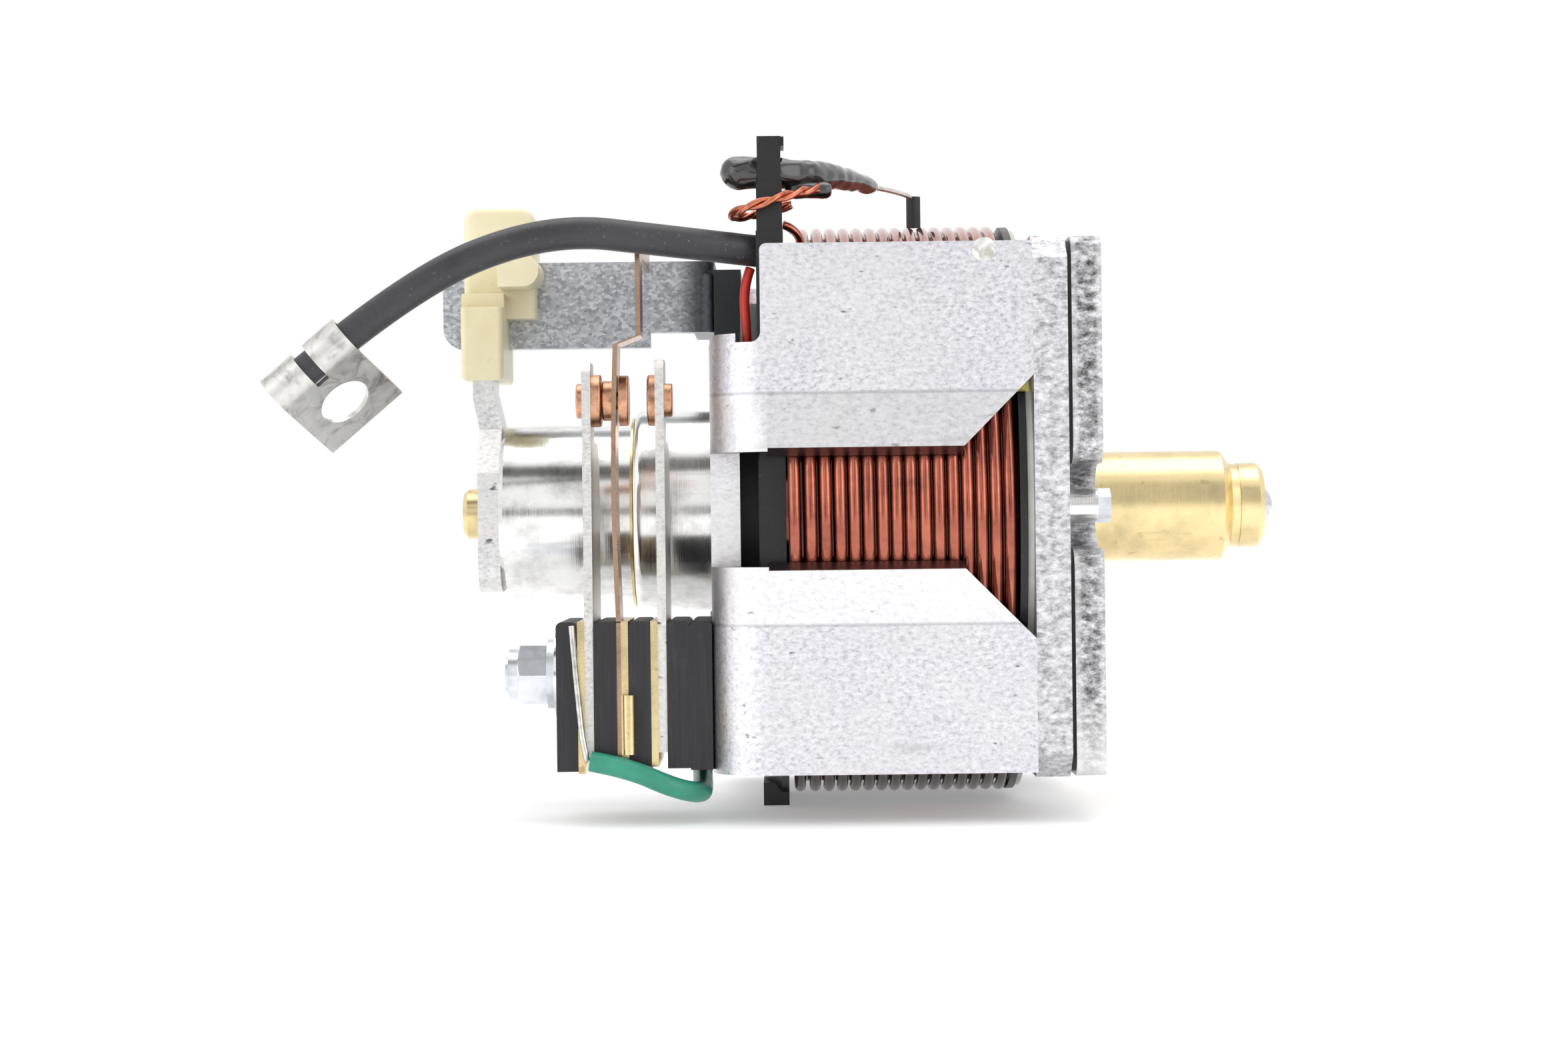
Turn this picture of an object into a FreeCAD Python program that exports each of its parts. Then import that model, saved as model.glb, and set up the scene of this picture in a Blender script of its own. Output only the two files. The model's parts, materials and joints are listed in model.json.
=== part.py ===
import FreeCAD, Part
import math
import os

# Heavy-duty solenoid switch: a plunger slides in a copper coil, pushes a brass nose out of the
# mounting flange and works a changeover contact stack with a nylon finger.
# Millimetres. +X runs along the plunger axis towards the nose, +Z is up, the contact stack and the
# terminal post are on the -Y side. The origin is on the plunger axis in the flange's outer face.

V = FreeCAD.Vector
ALONG_X = V(1, 0, 0)
ALONG_Y = V(0, 1, 0)
ALONG_Z = V(0, 0, 1)

# ---- driving dimensions: magnet frame ----
FLANGE_T = 5.0              # mounting flange
GASKET_T = 0.7
POLE_PLATE_T = 5.8
YOKE_T = 5.0                # strip that the U-shaped yoke is bent from
YOKE_INSIDE = 49.3          # base wall to pole plate
YOKE_HALF_W = 53.4          # outer faces of the two legs, in Y
YOKE_HALF_H = 44.4
BEND_INNER_R = 4.8
PLATE_HALF_W = 53.5
PLATE_HALF_H = 45.5
FLANGE_HALF_W = 53.0
FLANGE_HALF_H = 45.25
FOLD_Z = 19.4               # the leg starts to lean out here, above and below the window
FLAP_EDGE_Z = 10.2
FLAP_OUT = 2.5              # how far the leaning flap reaches past the leg
FLARE_X = 11.8              # 45 degree opening-out of the window, measured from the pole plate
NOTCH_X = -57.0             # the near leg's top corner is cut away behind this plane
NOTCH_Z = 28.0
STUB_H = 1.5
SLOT_HALF_H = 7.1           # open U-slots in the flange's near and far edges
SLOT_DEPTH = 16.0
MOUNT_Y = 42.0              # tapped mounting holes, half spacings
MOUNT_Z = 36.0
MOUNT_HOLE_R = 2.6
PLATE_SCREW_Y = 22.0        # countersunk screws that hold the flange to the pole plate
PLATE_SCREW_Z = 38.0
SLOT_SCREW_Y = 45.0         # hex screws in the U-slots

X_GASKET = -FLANGE_T                        # gasket's front face
X_POLE_FRONT = X_GASKET - GASKET_T
X_POLE_REAR = X_POLE_FRONT - POLE_PLATE_T
X_BASE_IN = X_POLE_REAR - YOKE_INSIDE
X_BASE_OUT = X_BASE_IN - YOKE_T
LEG_IN = YOKE_HALF_W - YOKE_T

# ---- driving dimensions: coil and bobbin ----
COIL_R = 51.5
N_TURNS = 16
WIRE_PITCH = 2.45
HOLD_R = 38.0               # outside of the fine hold-in winding
BOBBIN_TUBE_R = 19.0
REAR_FLANGE_T = 4.6
REAR_FLANGE_R = 52.6
FRONT_FLANGE_T = 1.3
FRONT_FLANGE_R = 51.3
BOBBIN_HALF_W = 47.9        # flats beside the legs
FOOT_Z = -52.8              # flat foot under the rear bobbin flange
FOOT_HALF_W = 15.0
CUSHION_T = 3.2
CUSHION_R = 38.0
POST_Y = (-48.0, -38.0)
POST_TOP = 63.0
POST_LEDGES = (47.0, 55.3)  # heights where the post gets a little thinner

X_FLANGE_REAR = X_BASE_IN + CUSHION_T       # bobbin's rear flange, rear face
X_COIL_0 = X_FLANGE_REAR + REAR_FLANGE_T
X_COIL_1 = X_COIL_0 + N_TURNS * WIRE_PITCH
X_WASHER = X_COIL_1 + FRONT_FLANGE_T        # light end washer between bobbin and pole plate

# ---- driving dimensions: plunger and core ----
PLUNGER_R = 16.0
TUBE_R = (16.06, 16.7)      # brass guide tube, 0.06 mm running clearance
COLLAR_R = 18.5
X_COLLAR = -80.4            # rear mouth of the steel collar
X_TUBE_MOUTH = -80.9
X_PLUNGER = (-104.5, -54.4)
X_CORE_REAR = -28.9
CORE_BORE_R = 10.06
NOSE_R = 10.0
ROD_R = 5.0
X_NOSE_CHAMFER = 26.4
X_NOSE_STEP = 28.1
NOSE_END_R = 7.7
X_NOSE_END = 34.1
NOSE_LAND = 0.3             # where the nose's sliding land starts outside the flange
BALL_R = 4.0
BALL_OUT = 2.2
SPRING_R = 12.2             # centre line of the return spring
SPRING_WIRE_R = 0.8
SPRING_COILS = 9
SPRING_POCKET = 14.0
ACTUATOR_T = 4.0
X_PIN_END = -112.0
PIN_R = 4.6
TRAVEL = 23.4

# ---- driving dimensions: slider and guide bar ----
BAR_Y = (8.0, 12.0)
BAR_Z = (30.7, 46.7)
BAR_STEP_X = -77.9
BAR_STEP = 2.8
X_BAR_END = -116.4
FOOT_END_Y = 33.0           # the bar's foot lies along the base wall up to here
RIVET_R = 2.0
RIVETS = [(18.0, 39.5), (27.5, 39.5)]
SLIDER_X = (-111.8, -104.1)
SLIDER_HEAD_X = (-111.9, -98.8)
SLIDER_Z = (24.3, 56.4)
SLIDER_Y = (-6.0, 16.0)
FINGER_TIP_X = -97.4
FINGER_Y = (-8.0, 2.0)
FINGER_Z = (41.2, 47.0)
SLIDE_GAP = 0.08

# ---- driving dimensions: contact stack ----
STACK_Y = (-46.5, -21.5)
STACK_TOP = -18.6
BOLT_Y = -34.0
BOLT_Z = -27.9
BOLT_R = 3.0
BUSH_R = 4.1
NUT_HEX_T = 5.0             # hexagon of the self-locking nut, and the nut with its collar
NUT_T = 6.7
BLADE_NARROW_Y = (-46.0, -36.0)
BLADE_WIDE_Y = (-46.0, -22.0)
BLADE_SHOULDER_Z = 12.0
CONTACT_Y = -41.0
CONTACT_Z = 18.9
LEAF_T = 0.8
LEAF_JOG_Z = 28.3
LEAF_JOG_X = 3.9
LEAF_TOP = 48.0
LEAF_TAB_END_Y = -5.0

# Stack pieces from the base wall outwards: name, thickness, lowest point.
STACK = [
    ("insulator_e", 3.8, -43.8),
    ("insulator_d", 3.9, -43.5),
    ("blade_right", 1.5, -40.8),
    ("brass_terminal_3", 1.2, -43.2),
    ("insulator_c", 3.8, -43.6),
    ("brass_terminal_2", 1.2, -42.4),
    ("leaf_tail", LEAF_T, -41.3),
    ("insulator_b", 3.9, -43.4),
    ("blade_left", 1.5, -41.6),
    ("brass_terminal_1", 1.2, -44.3),
    ("insulator_a", 3.6, -43.9),
]

# ---- driving dimensions: wires ----
CABLE_R = 2.7
# Hand-chosen route of the black cable, from inside the post to its terminal.
CABLE_ROUTE = [
    (-57.0, -43.0, 43.9),
    (-71.4, -49.5, 45.2),
    (-92.4, -55.2, 47.3),
    (-116.0, -59.0, 37.4),
    (-136.7, -59.0, 19.8),
]
GREEN_R = 1.75
# Green jumper from the outer brass terminal, under the stack, to the lug on the base wall.
GREEN_ROUTE = [
    (-86.4, -48.5, -42.0),
    (-80.0, -48.9, -43.2),
    (-72.5, -49.1, -46.6),
    (-67.9, -44.0, -48.0),
    (-67.9, -34.0, -47.8),
    (-68.4, -17.2, -46.0),
    (-68.3, -17.0, -28.3),
]
TERMINAL_T = 0.8
TERMINAL_L = 15.6
TERMINAL_REACH = 16.8       # plate's width, from the cable's side to its free edge
TERMINAL_HOLE_AT = 8.6
TERMINAL_HOLE_R = 4.4
WING_L = 6.6
TERMINAL_TILT = math.radians(58)            # how far the terminal's plate is turned edge-on


def box(x0, x1, y0, y1, z0, z1):
    """Block between two corners."""
    return Part.makeBox(x1 - x0, y1 - y0, z1 - z0, V(x0, y0, z0))


def rod(r, x0, x1, y=0.0, z=0.0):
    """Round bar along X."""
    return Part.makeCylinder(r, x1 - x0, V(x0, y, z), ALONG_X)


def tube(r_out, r_in, x0, x1, y=0.0, z=0.0):
    """Hollow round bar along X."""
    return rod(r_out, x0, x1, y, z).cut(rod(r_in, x0 - 1, x1 + 1, y, z))


def prism(points, along):
    """Solid pushed out from a closed outline of straight edges."""
    corners = [V(*p) for p in points]
    return Part.Face(Part.makePolygon(corners + corners[:1])).extrude(along)


def turned(points):
    """Solid turned about the X axis from an outline of (x, r) points."""
    corners = [V(x, 0, r) for x, r in points]
    face = Part.Face(Part.makePolygon(corners + corners[:1]))
    return face.revolve(V(0, 0, 0), ALONG_X, 360)


def fillet(shape, radius, chosen):
    """Round the straight edges that a test of (middle point, direction) picks out."""
    edges = []
    for edge in shape.Edges:
        if edge.Curve.TypeId == "Part::GeomLine":
            if chosen(edge.CenterOfMass, edge.tangentAt(edge.FirstParameter)):
                edges.append(edge)
    return shape.makeFillet(radius, edges)


def mirrored(shape):
    """The same shape on the far side, across the XZ plane."""
    return shape.mirror(V(0, 0, 0), ALONG_Y)


def routed(points):
    """Wire of straight runs joined by tangent arcs, each as large as its two runs allow."""
    p = [V(*q) for q in points]
    edges = []
    radii = []
    start = p[0]
    for before, corner, after in zip(p, p[1:], p[2:]):
        into = (corner - before).normalize()
        out = (after - corner).normalize()
        half = into.getAngle(out) / 2
        radius = 0.45 * min((corner - before).Length, (after - corner).Length) / math.tan(half)
        radii.append(radius)
        reach = radius * math.tan(half)
        a = corner - into * reach
        b = corner + out * reach
        inward = (out - into).normalize()
        middle = corner + inward * (radius / math.cos(half) - radius)
        edges.append(Part.LineSegment(start, a).toShape())
        edges.append(Part.Arc(a, middle, b).toShape())
        start = b
    edges.append(Part.LineSegment(start, p[-1]).toShape())
    return Part.Wire(edges), radii


def wire_tube(points, r):
    """Round wire or cable along a route."""
    path, radii = routed(points)
    heading = (V(*points[1]) - V(*points[0])).normalize()
    ring = Part.Wire(Part.makeCircle(r, V(*points[0]), heading))
    solid = path.makePipeShell([ring], True, False)
    wanted = math.pi * r * r * path.Length
    print("wire length %.1f, tightest bend %.1f, volume ratio %.4f"
          % (path.Length, min(radii), solid.Volume / wanted))
    return solid


def save(name, *solids):
    """Write one sub-part; identical pieces go in as separate solids."""
    shape = solids[0] if len(solids) == 1 else Part.makeCompound(list(solids))
    if not shape.isValid():
        print("NOT VALID:", name)
    shape.exportStep("parts/%s.step" % name)


# ---------------------------------------------------------------- magnet frame

def bent_strip(z0, z1, shift=0.0):
    """The yoke's bend on the near side between two heights, leaning out by shift at z1."""
    outer = BEND_INNER_R + YOKE_T
    cx = X_BASE_OUT + outer
    cy = -YOKE_HALF_W + outer

    def section(z, lean):
        turn = math.sqrt(0.5)
        p_base_out = V(X_BASE_OUT, cy, z)
        p_leg_out = V(cx, -YOKE_HALF_W - lean, z)
        p_leg_in = V(cx, -LEG_IN - lean, z)
        p_base_in = V(X_BASE_IN, cy, z)
        mid_out = V(cx - outer * turn, cy - outer * turn - lean * 0.6, z)
        mid_in = V(cx - BEND_INNER_R * turn, cy - BEND_INNER_R * turn - lean * 0.6, z)
        return Part.Wire([
            Part.Arc(p_base_out, mid_out, p_leg_out).toShape(),
            Part.LineSegment(p_leg_out, p_leg_in).toShape(),
            Part.Arc(p_leg_in, mid_in, p_base_in).toShape(),
            Part.LineSegment(p_base_in, p_base_out).toShape(),
        ])
    return Part.makeLoft([section(z0, 0.0), section(z1, shift)], True, True)


def near_leg():
    """Leg, bend and leaning flaps on the near side, window and flare cut out."""
    x_bend = X_BASE_OUT + BEND_INNER_R + YOKE_T
    lean = math.atan(FLAP_OUT / (FOLD_Z - FLAP_EDGE_Z))
    fold_in = FOLD_Z - YOKE_T * math.tan(lean / 2)
    lip_y = YOKE_HALF_W + FLAP_OUT - YOKE_T * math.cos(lean)
    lip_z = FLAP_EDGE_Z - YOKE_T * math.sin(lean)
    pieces = []
    for up in (1, -1):
        outline = [
            (x_bend, -YOKE_HALF_W, up * YOKE_HALF_H),
            (x_bend, -YOKE_HALF_W, up * FOLD_Z),
            (x_bend, -YOKE_HALF_W - FLAP_OUT, up * FLAP_EDGE_Z),
            (x_bend, -lip_y, up * lip_z),
            (x_bend, -LEG_IN, up * fold_in),
            (x_bend, -LEG_IN, up * YOKE_HALF_H),
        ]
        pieces.append(prism(outline, V(X_POLE_REAR - x_bend, 0, 0)))
        pieces.append(bent_strip(up * YOKE_HALF_H, up * FOLD_Z))
        pieces.append(bent_strip(up * FOLD_Z, up * (FLAP_EDGE_Z - 0.6), FLAP_OUT))
    leg = pieces[0].fuse(pieces[1:])
    reach = FLARE_X + 2
    y_out = -YOKE_HALF_W - 10
    flare = prism([
        (X_POLE_REAR - FLARE_X, y_out, FLAP_EDGE_Z),
        (X_POLE_REAR - FLARE_X + reach, y_out, FLAP_EDGE_Z + reach),
        (X_POLE_REAR - FLARE_X + reach, y_out, -FLAP_EDGE_Z - reach),
        (X_POLE_REAR - FLARE_X, y_out, -FLAP_EDGE_Z),
    ], V(0, 20, 0))
    return leg.cut(flare)


def tenon_blocks(grow=0.0):
    """Staked tenons of the leg ends, which sit in slots in the pole plate."""
    blocks = []
    for side in (-1, 1):
        y0 = side * (LEG_IN + 2.3)
        for z0 in (27.0, -37.0):
            blocks.append(box(X_POLE_REAR - grow, X_POLE_FRONT - 0.4, y0 - 1.5, y0 + 1.5, z0, z0 + 10.0))
    return blocks


def yoke():
    base_half_w = YOKE_HALF_W - BEND_INNER_R - YOKE_T
    base = box(X_BASE_OUT, X_BASE_IN, -base_half_w, base_half_w, -YOKE_HALF_H, YOKE_HALF_H)
    near = near_leg()
    body = base.fuse([near, mirrored(near)] + tenon_blocks()).removeSplitter()
    body = body.cut(rod(COLLAR_R, X_BASE_OUT - 1, X_BASE_IN + 1))
    body = body.cut(rod(BOLT_R + 0.15, X_BASE_OUT - 1, X_BASE_IN + 1, BOLT_Y, BOLT_Z))
    for y, z in RIVETS:
        body = body.cut(rod(RIVET_R, X_BASE_OUT - 1, X_BASE_IN + 1, y, z))
    notch = box(X_BASE_OUT - 5, NOTCH_X, -YOKE_HALF_W - 5, 0.0, NOTCH_Z, YOKE_HALF_H + 5)
    notch = fillet(notch, 1.7, lambda c, t: abs(t.y) > 0.9 and c.x > NOTCH_X - 1 and c.z < NOTCH_Z + 1)
    body = body.cut(notch)
    body = fillet(body, 1.1, lambda c, t: abs(t.y) > 0.9 and c.y < -40
                  and abs(c.x - NOTCH_X) < 0.1 and c.z > YOKE_HALF_H - 0.5)
    return body.fuse(shear_stub()).removeSplitter()


def shear_stub():
    """Low stub left by the shears on top of the near bend."""
    bend_r = BEND_INNER_R + YOKE_T
    centre = V(X_BASE_OUT + bend_r, -YOKE_HALF_W + bend_r, NOTCH_Z - 0.5)
    ring = Part.makeCylinder(bend_r - 0.1, 0.5 + STUB_H, centre)
    ring = ring.cut(Part.makeCylinder(BEND_INNER_R + 0.2, 5, centre))
    return ring.common(box(X_BASE_OUT, X_BASE_OUT + 4.6, -YOKE_HALF_W, centre.y, NOTCH_Z - 1, NOTCH_Z + STUB_H))


def pole_plate():
    plate = box(X_POLE_REAR, X_POLE_FRONT, -PLATE_HALF_W, PLATE_HALF_W, -PLATE_HALF_H, PLATE_HALF_H)
    for side in (-1, 1):
        for up in (-1, 1):
            corner = prism([
                (X_POLE_REAR - 1, side * (PLATE_HALF_W + 1), up * (PLATE_HALF_H - 4)),
                (X_POLE_REAR - 1, side * PLATE_HALF_W, up * (PLATE_HALF_H - 4)),
                (X_POLE_REAR - 1, side * (PLATE_HALF_W - 5), up * PLATE_HALF_H),
                (X_POLE_REAR - 1, side * (PLATE_HALF_W - 5), up * (PLATE_HALF_H + 1)),
                (X_POLE_REAR - 1, side * (PLATE_HALF_W + 1), up * (PLATE_HALF_H + 1)),
            ], V(POLE_PLATE_T + 2, 0, 0))
            plate = plate.cut(corner)
            plate = plate.cut(rod(MOUNT_HOLE_R, X_POLE_REAR - 1, 1, side * MOUNT_Y, up * MOUNT_Z))
            plate = plate.cut(rod(2.5, X_POLE_REAR - 1, 1, side * PLATE_SCREW_Y, up * PLATE_SCREW_Z))
        plate = plate.cut(rod(1.7, X_POLE_REAR - 1, 1, side * SLOT_SCREW_Y))
    plate = plate.cut(rod(13.0, X_POLE_REAR - 1, X_POLE_FRONT + 1))
    return plate.cut(tenon_blocks(1.0))


def flange_cuts(x0, x1):
    """U-slots and holes that run through both the gasket and the flange."""
    cuts = [rod(NOSE_R + 0.3, x0 - 1, x1 + 1)]
    bottom = FLANGE_HALF_W - SLOT_DEPTH + SLOT_HALF_H
    for side in (-1, 1):
        y = side * bottom
        edge = side * (PLATE_HALF_W + 2)
        cuts.append(rod(SLOT_HALF_H, x0 - 1, x1 + 1, y))
        cuts.append(box(x0 - 1, x1 + 1, min(y, edge), max(y, edge), -SLOT_HALF_H, SLOT_HALF_H))
        for up in (-1, 1):
            cuts.append(rod(MOUNT_HOLE_R, x0 - 1, x1 + 1, side * MOUNT_Y, up * MOUNT_Z))
            cuts.append(rod(2.5, x0 - 1, x1 + 1, side * PLATE_SCREW_Y, up * PLATE_SCREW_Z))
    return cuts


def slotted_plate(x0, x1, half_w, half_h, corner_r, mouth_r):
    """Flat plate with rounded corners and the two open U-slots."""
    plate = box(x0, x1, -half_w, half_w, -half_h, half_h)
    plate = fillet(plate, corner_r, lambda c, t: abs(t.x) > 0.9)
    plate = plate.cut(flange_cuts(x0, x1))
    return fillet(plate, mouth_r, lambda c, t: abs(t.x) > 0.9 and abs(abs(c.y) - half_w) < 0.1
                  and abs(abs(c.z) - SLOT_HALF_H) < 0.1)


def mounting_flange():
    plate = slotted_plate(-FLANGE_T, 0.0, FLANGE_HALF_W, FLANGE_HALF_H, 3.0, 4.0)
    for side in (-1, 1):
        for up in (-1, 1):
            sink = Part.makeCone(2.5, 5.1, 2.6, V(-2.6, side * PLATE_SCREW_Y, up * PLATE_SCREW_Z), ALONG_X)
            plate = plate.cut(sink)
    return plate


def gasket():
    return slotted_plate(X_POLE_FRONT, X_GASKET, FLANGE_HALF_W - 0.8, FLANGE_HALF_H - 0.8, 3.0, 3.0)


def flange_screws():
    """Countersunk slotted screws, flange to pole plate."""
    screws = []
    for side in (-1, 1):
        for up in (-1, 1):
            y = side * PLATE_SCREW_Y
            z = up * PLATE_SCREW_Z
            screw = rod(2.5, X_POLE_REAR + 0.5, -2.4, y, z)
            screw = screw.fuse(Part.makeCone(2.5, 4.9, 2.4, V(-2.6, y, z), ALONG_X))
            screw = screw.cut(box(-1.3, 0.5, y - 6, y + 6, z - 0.6, z + 0.6))
            screws.append(screw)
    return screws


def hexagon(across_flats, x0, x1, y, z, turn=0.0):
    """Hexagonal bar along X."""
    r = across_flats / math.sqrt(3)
    points = []
    for i in range(6):
        a = math.radians(60 * i + turn)
        points.append((x0, y + r * math.cos(a), z + r * math.sin(a)))
    return prism(points, V(x1 - x0, 0, 0))


def slot_screws():
    """M3 hex-head screws through the pole plate into the bobbin's front flange."""
    screws = []
    for side in (-1, 1):
        y = side * SLOT_SCREW_Y
        head = hexagon(5.1, -0.4, 1.8, y, 0.0, 90.0)
        screws.append(head.fuse(rod(1.5, X_COIL_1 + 0.2, 0.0, y)))
    return screws


def slot_spacers():
    spacers = []
    for side in (-1, 1):
        spacers.append(tube(2.9, 1.55, X_POLE_FRONT, -0.4, side * SLOT_SCREW_Y))
    return spacers


# ---------------------------------------------------------------- coil and bobbin

def bobbin():
    rim = REAR_FLANGE_R
    x0 = X_FLANGE_REAR
    spool = turned([
        (x0, TUBE_R[1] + 0.1),
        (x0, rim - 4.2),
        (x0 + 3.3, rim),
        (X_COIL_0, rim),
        (X_COIL_0, BOBBIN_TUBE_R),
        (X_COIL_1, BOBBIN_TUBE_R),
        (X_COIL_1, FRONT_FLANGE_R),
        (X_WASHER, FRONT_FLANGE_R),
        (X_WASHER, TUBE_R[1] + 0.1),
    ])
    spool = spool.fuse(box(x0, X_COIL_0, -FOOT_HALF_W, FOOT_HALF_W, FOOT_Z, FOOT_Z + 4))
    trim = box(x0 - 1, X_COIL_0 + 0.001, BOBBIN_HALF_W, 60, -60, 60)
    spool = spool.cut([trim, mirrored(trim)])
    spool = spool.cut(box(x0 - 1, X_WASHER + 1, -30, 30, FOOT_Z - 5, FOOT_Z))
    for side in (-1, 1):
        spool = spool.cut(rod(1.5, X_COIL_1, X_WASHER + 1, side * SLOT_SCREW_Y))
    y0, y1 = POST_Y
    low, high = POST_LEDGES
    post = box(x0, X_COIL_0, y0, y1, 18.0, low)
    post = post.fuse(box(x0 + 0.15, X_COIL_0 - 0.1, y0 + 0.3, y1 - 0.3, low - 1, high))
    post = post.fuse(box(x0 + 0.35, X_COIL_0 - 0.25, y0 + 0.6, y1 - 0.6, high - 1, POST_TOP))
    post = post.fuse(box(X_COIL_0 - 1.5, X_COIL_0 + 0.3, y0 + 1.5, y1 - 1.5, POST_TOP - 1.6, POST_TOP))
    return spool.fuse(post).removeSplitter()


def pull_in_winding():
    """Heavy outer winding: a sleeve whose outside is ribbed by its round turns."""
    r_low = COIL_R - 0.45
    half = WIRE_PITCH / 2
    edges = []
    for i in range(N_TURNS):
        x = X_COIL_0 + i * WIRE_PITCH
        edges.append(Part.Arc(V(x, 0, r_low), V(x + half, 0, COIL_R), V(x + WIRE_PITCH, 0, r_low)).toShape())
    a = V(X_COIL_1, 0, r_low)
    b = V(X_COIL_1, 0, HOLD_R)
    c = V(X_COIL_0, 0, HOLD_R)
    d = V(X_COIL_0, 0, r_low)
    edges += [Part.LineSegment(a, b).toShape(), Part.LineSegment(b, c).toShape(),
              Part.LineSegment(c, d).toShape()]
    return Part.Face(Part.Wire(edges)).revolve(V(0, 0, 0), ALONG_X, 360)


def insulating_tape():
    """Curved patch of woven tape over the winding's front end, just above the window."""
    shell = tube(COIL_R + 0.30, COIL_R + 0.02, X_COIL_1 - 1.6, X_WASHER + 0.6)
    window = box(X_COIL_1 - 6, X_POLE_REAR, -60, -40, 19.4, 24.5)
    return shell.common(window)


# ---------------------------------------------------------------- plunger and core

def collar():
    body = tube(COLLAR_R, TUBE_R[1] + 0.02, X_COLLAR, X_BASE_IN)
    lip = [e for e in body.Edges if e.Curve.TypeId == "Part::GeomCircle"
           and abs(e.Curve.Radius - COLLAR_R) < 0.01 and abs(e.Curve.Center.x - X_COLLAR) < 0.01]
    return body.makeFillet(1.6, lip)


def guide_tube():
    r_in, r_out = TUBE_R
    return turned([
        (X_TUBE_MOUTH, r_in),
        (X_TUBE_MOUTH, r_out + 0.6),
        (X_COLLAR - 0.02, r_out + 0.6),
        (X_COLLAR - 0.02, r_out),
        (X_WASHER - 1.0, r_out),
        (X_WASHER - 1.0, r_in),
    ])


def pole_core():
    return turned([
        (X_CORE_REAR, CORE_BORE_R),
        (X_CORE_REAR, PLUNGER_R - 1.5),
        (X_CORE_REAR + 1.5, PLUNGER_R),
        (X_POLE_REAR, PLUNGER_R),
        (X_POLE_REAR, 13.0),
        (X_POLE_FRONT, 13.0),
        (X_POLE_FRONT, CORE_BORE_R),
    ])


def plunger_core():
    x0, x1 = X_PLUNGER
    pocket_r = SPRING_R + SPRING_WIRE_R + 0.4
    return turned([
        (x0, ROD_R),
        (x0, PLUNGER_R - 0.8),
        (x0 + 0.8, PLUNGER_R),
        (x1 - 0.8, PLUNGER_R),
        (x1, PLUNGER_R - 0.8),
        (x1, pocket_r),
        (x1 - SPRING_POCKET, pocket_r),
        (x1 - SPRING_POCKET, ROD_R),
    ])


def push_rod():
    """Brass rod: riveted pin at the rear, sliding nose with a ball seat in front."""
    x_shoulder = X_PLUNGER[1] - SPRING_POCKET
    rod_solid = turned([
        (X_PIN_END, 0),
        (X_PIN_END, PIN_R - 0.8),
        (X_PIN_END + 0.8, PIN_R),
        (X_PLUNGER[0] - ACTUATOR_T, PIN_R),
        (X_PLUNGER[0] - ACTUATOR_T, ROD_R - 0.6),
        (X_PLUNGER[0], ROD_R - 0.6),
        (X_PLUNGER[0], ROD_R),
        (x_shoulder, ROD_R),
        (x_shoulder, NOSE_R),
        (-FLANGE_T, NOSE_R),
        (-FLANGE_T, NOSE_R - 0.4),
        (NOSE_LAND, NOSE_R - 0.4),
        (NOSE_LAND, NOSE_R),
        (X_NOSE_CHAMFER, NOSE_R),
        (X_NOSE_STEP, NOSE_END_R),
        (X_NOSE_STEP + 1.4, NOSE_END_R - 0.2),
        (X_NOSE_STEP + 1.6, NOSE_END_R),
        (X_NOSE_END - 1.0, NOSE_END_R),
        (X_NOSE_END, NOSE_END_R - 1.0),
        (X_NOSE_END, 0),
    ])
    return rod_solid.cut(nose_ball())


def nose_ball():
    return Part.makeSphere(BALL_R, V(X_NOSE_END + BALL_OUT - BALL_R, 0, 0))


def return_spring():
    """Compression spring between the plunger's pocket and the core."""
    x0 = X_PLUNGER[1] - SPRING_POCKET + SPRING_WIRE_R + 0.1
    x1 = X_CORE_REAR - SPRING_WIRE_R - 0.1
    helix = Part.makeHelix((x1 - x0) / SPRING_COILS, x1 - x0, SPRING_R)
    ring = Part.Wire(Part.makeCircle(SPRING_WIRE_R, V(SPRING_R, 0, 0), ALONG_Y))
    spring = Part.Wire(helix.Edges).makePipeShell([ring], True, True)
    spring.rotate(V(0, 0, 0), ALONG_Y, 90)
    spring.translate(V(x0, 0, 0))
    return spring


def actuator_plate():
    """Steel plate on the plunger's rear end, with a joggled arm up into the slider."""
    x1 = X_PLUNGER[0]
    x0 = x1 - ACTUATOR_T
    shoulder = prism([
        (x0, -12.0, -14.2), (x0, 12.0, -14.2), (x0, 12.0, 7.4),
        (x0, 6.0, 15.4), (x0, -6.0, 15.4), (x0, -12.0, 7.4),
    ], V(ACTUATOR_T, 0, 0))
    shoulder = fillet(shoulder, 5.0, lambda c, t: abs(t.x) > 0.9 and c.z < -10)
    joggle = prism([
        (x0, -5.5, 14.4), (x1, -5.5, 14.4), (x1, -5.5, 16.0), (x1 - 1.4, -5.5, 22.0),
        (x1 - 1.4, -5.5, 29.0), (x0 - 1.2, -5.5, 29.0), (x0 - 1.2, -5.5, 21.0), (x0, -5.5, 15.0),
    ], V(0, 11.0, 0))
    plate = shoulder.fuse(joggle).removeSplitter()
    return plate.cut(rod(ROD_R - 0.6, x0 - 1, x1 + 1))


# ---------------------------------------------------------------- slider and guide bar



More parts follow.
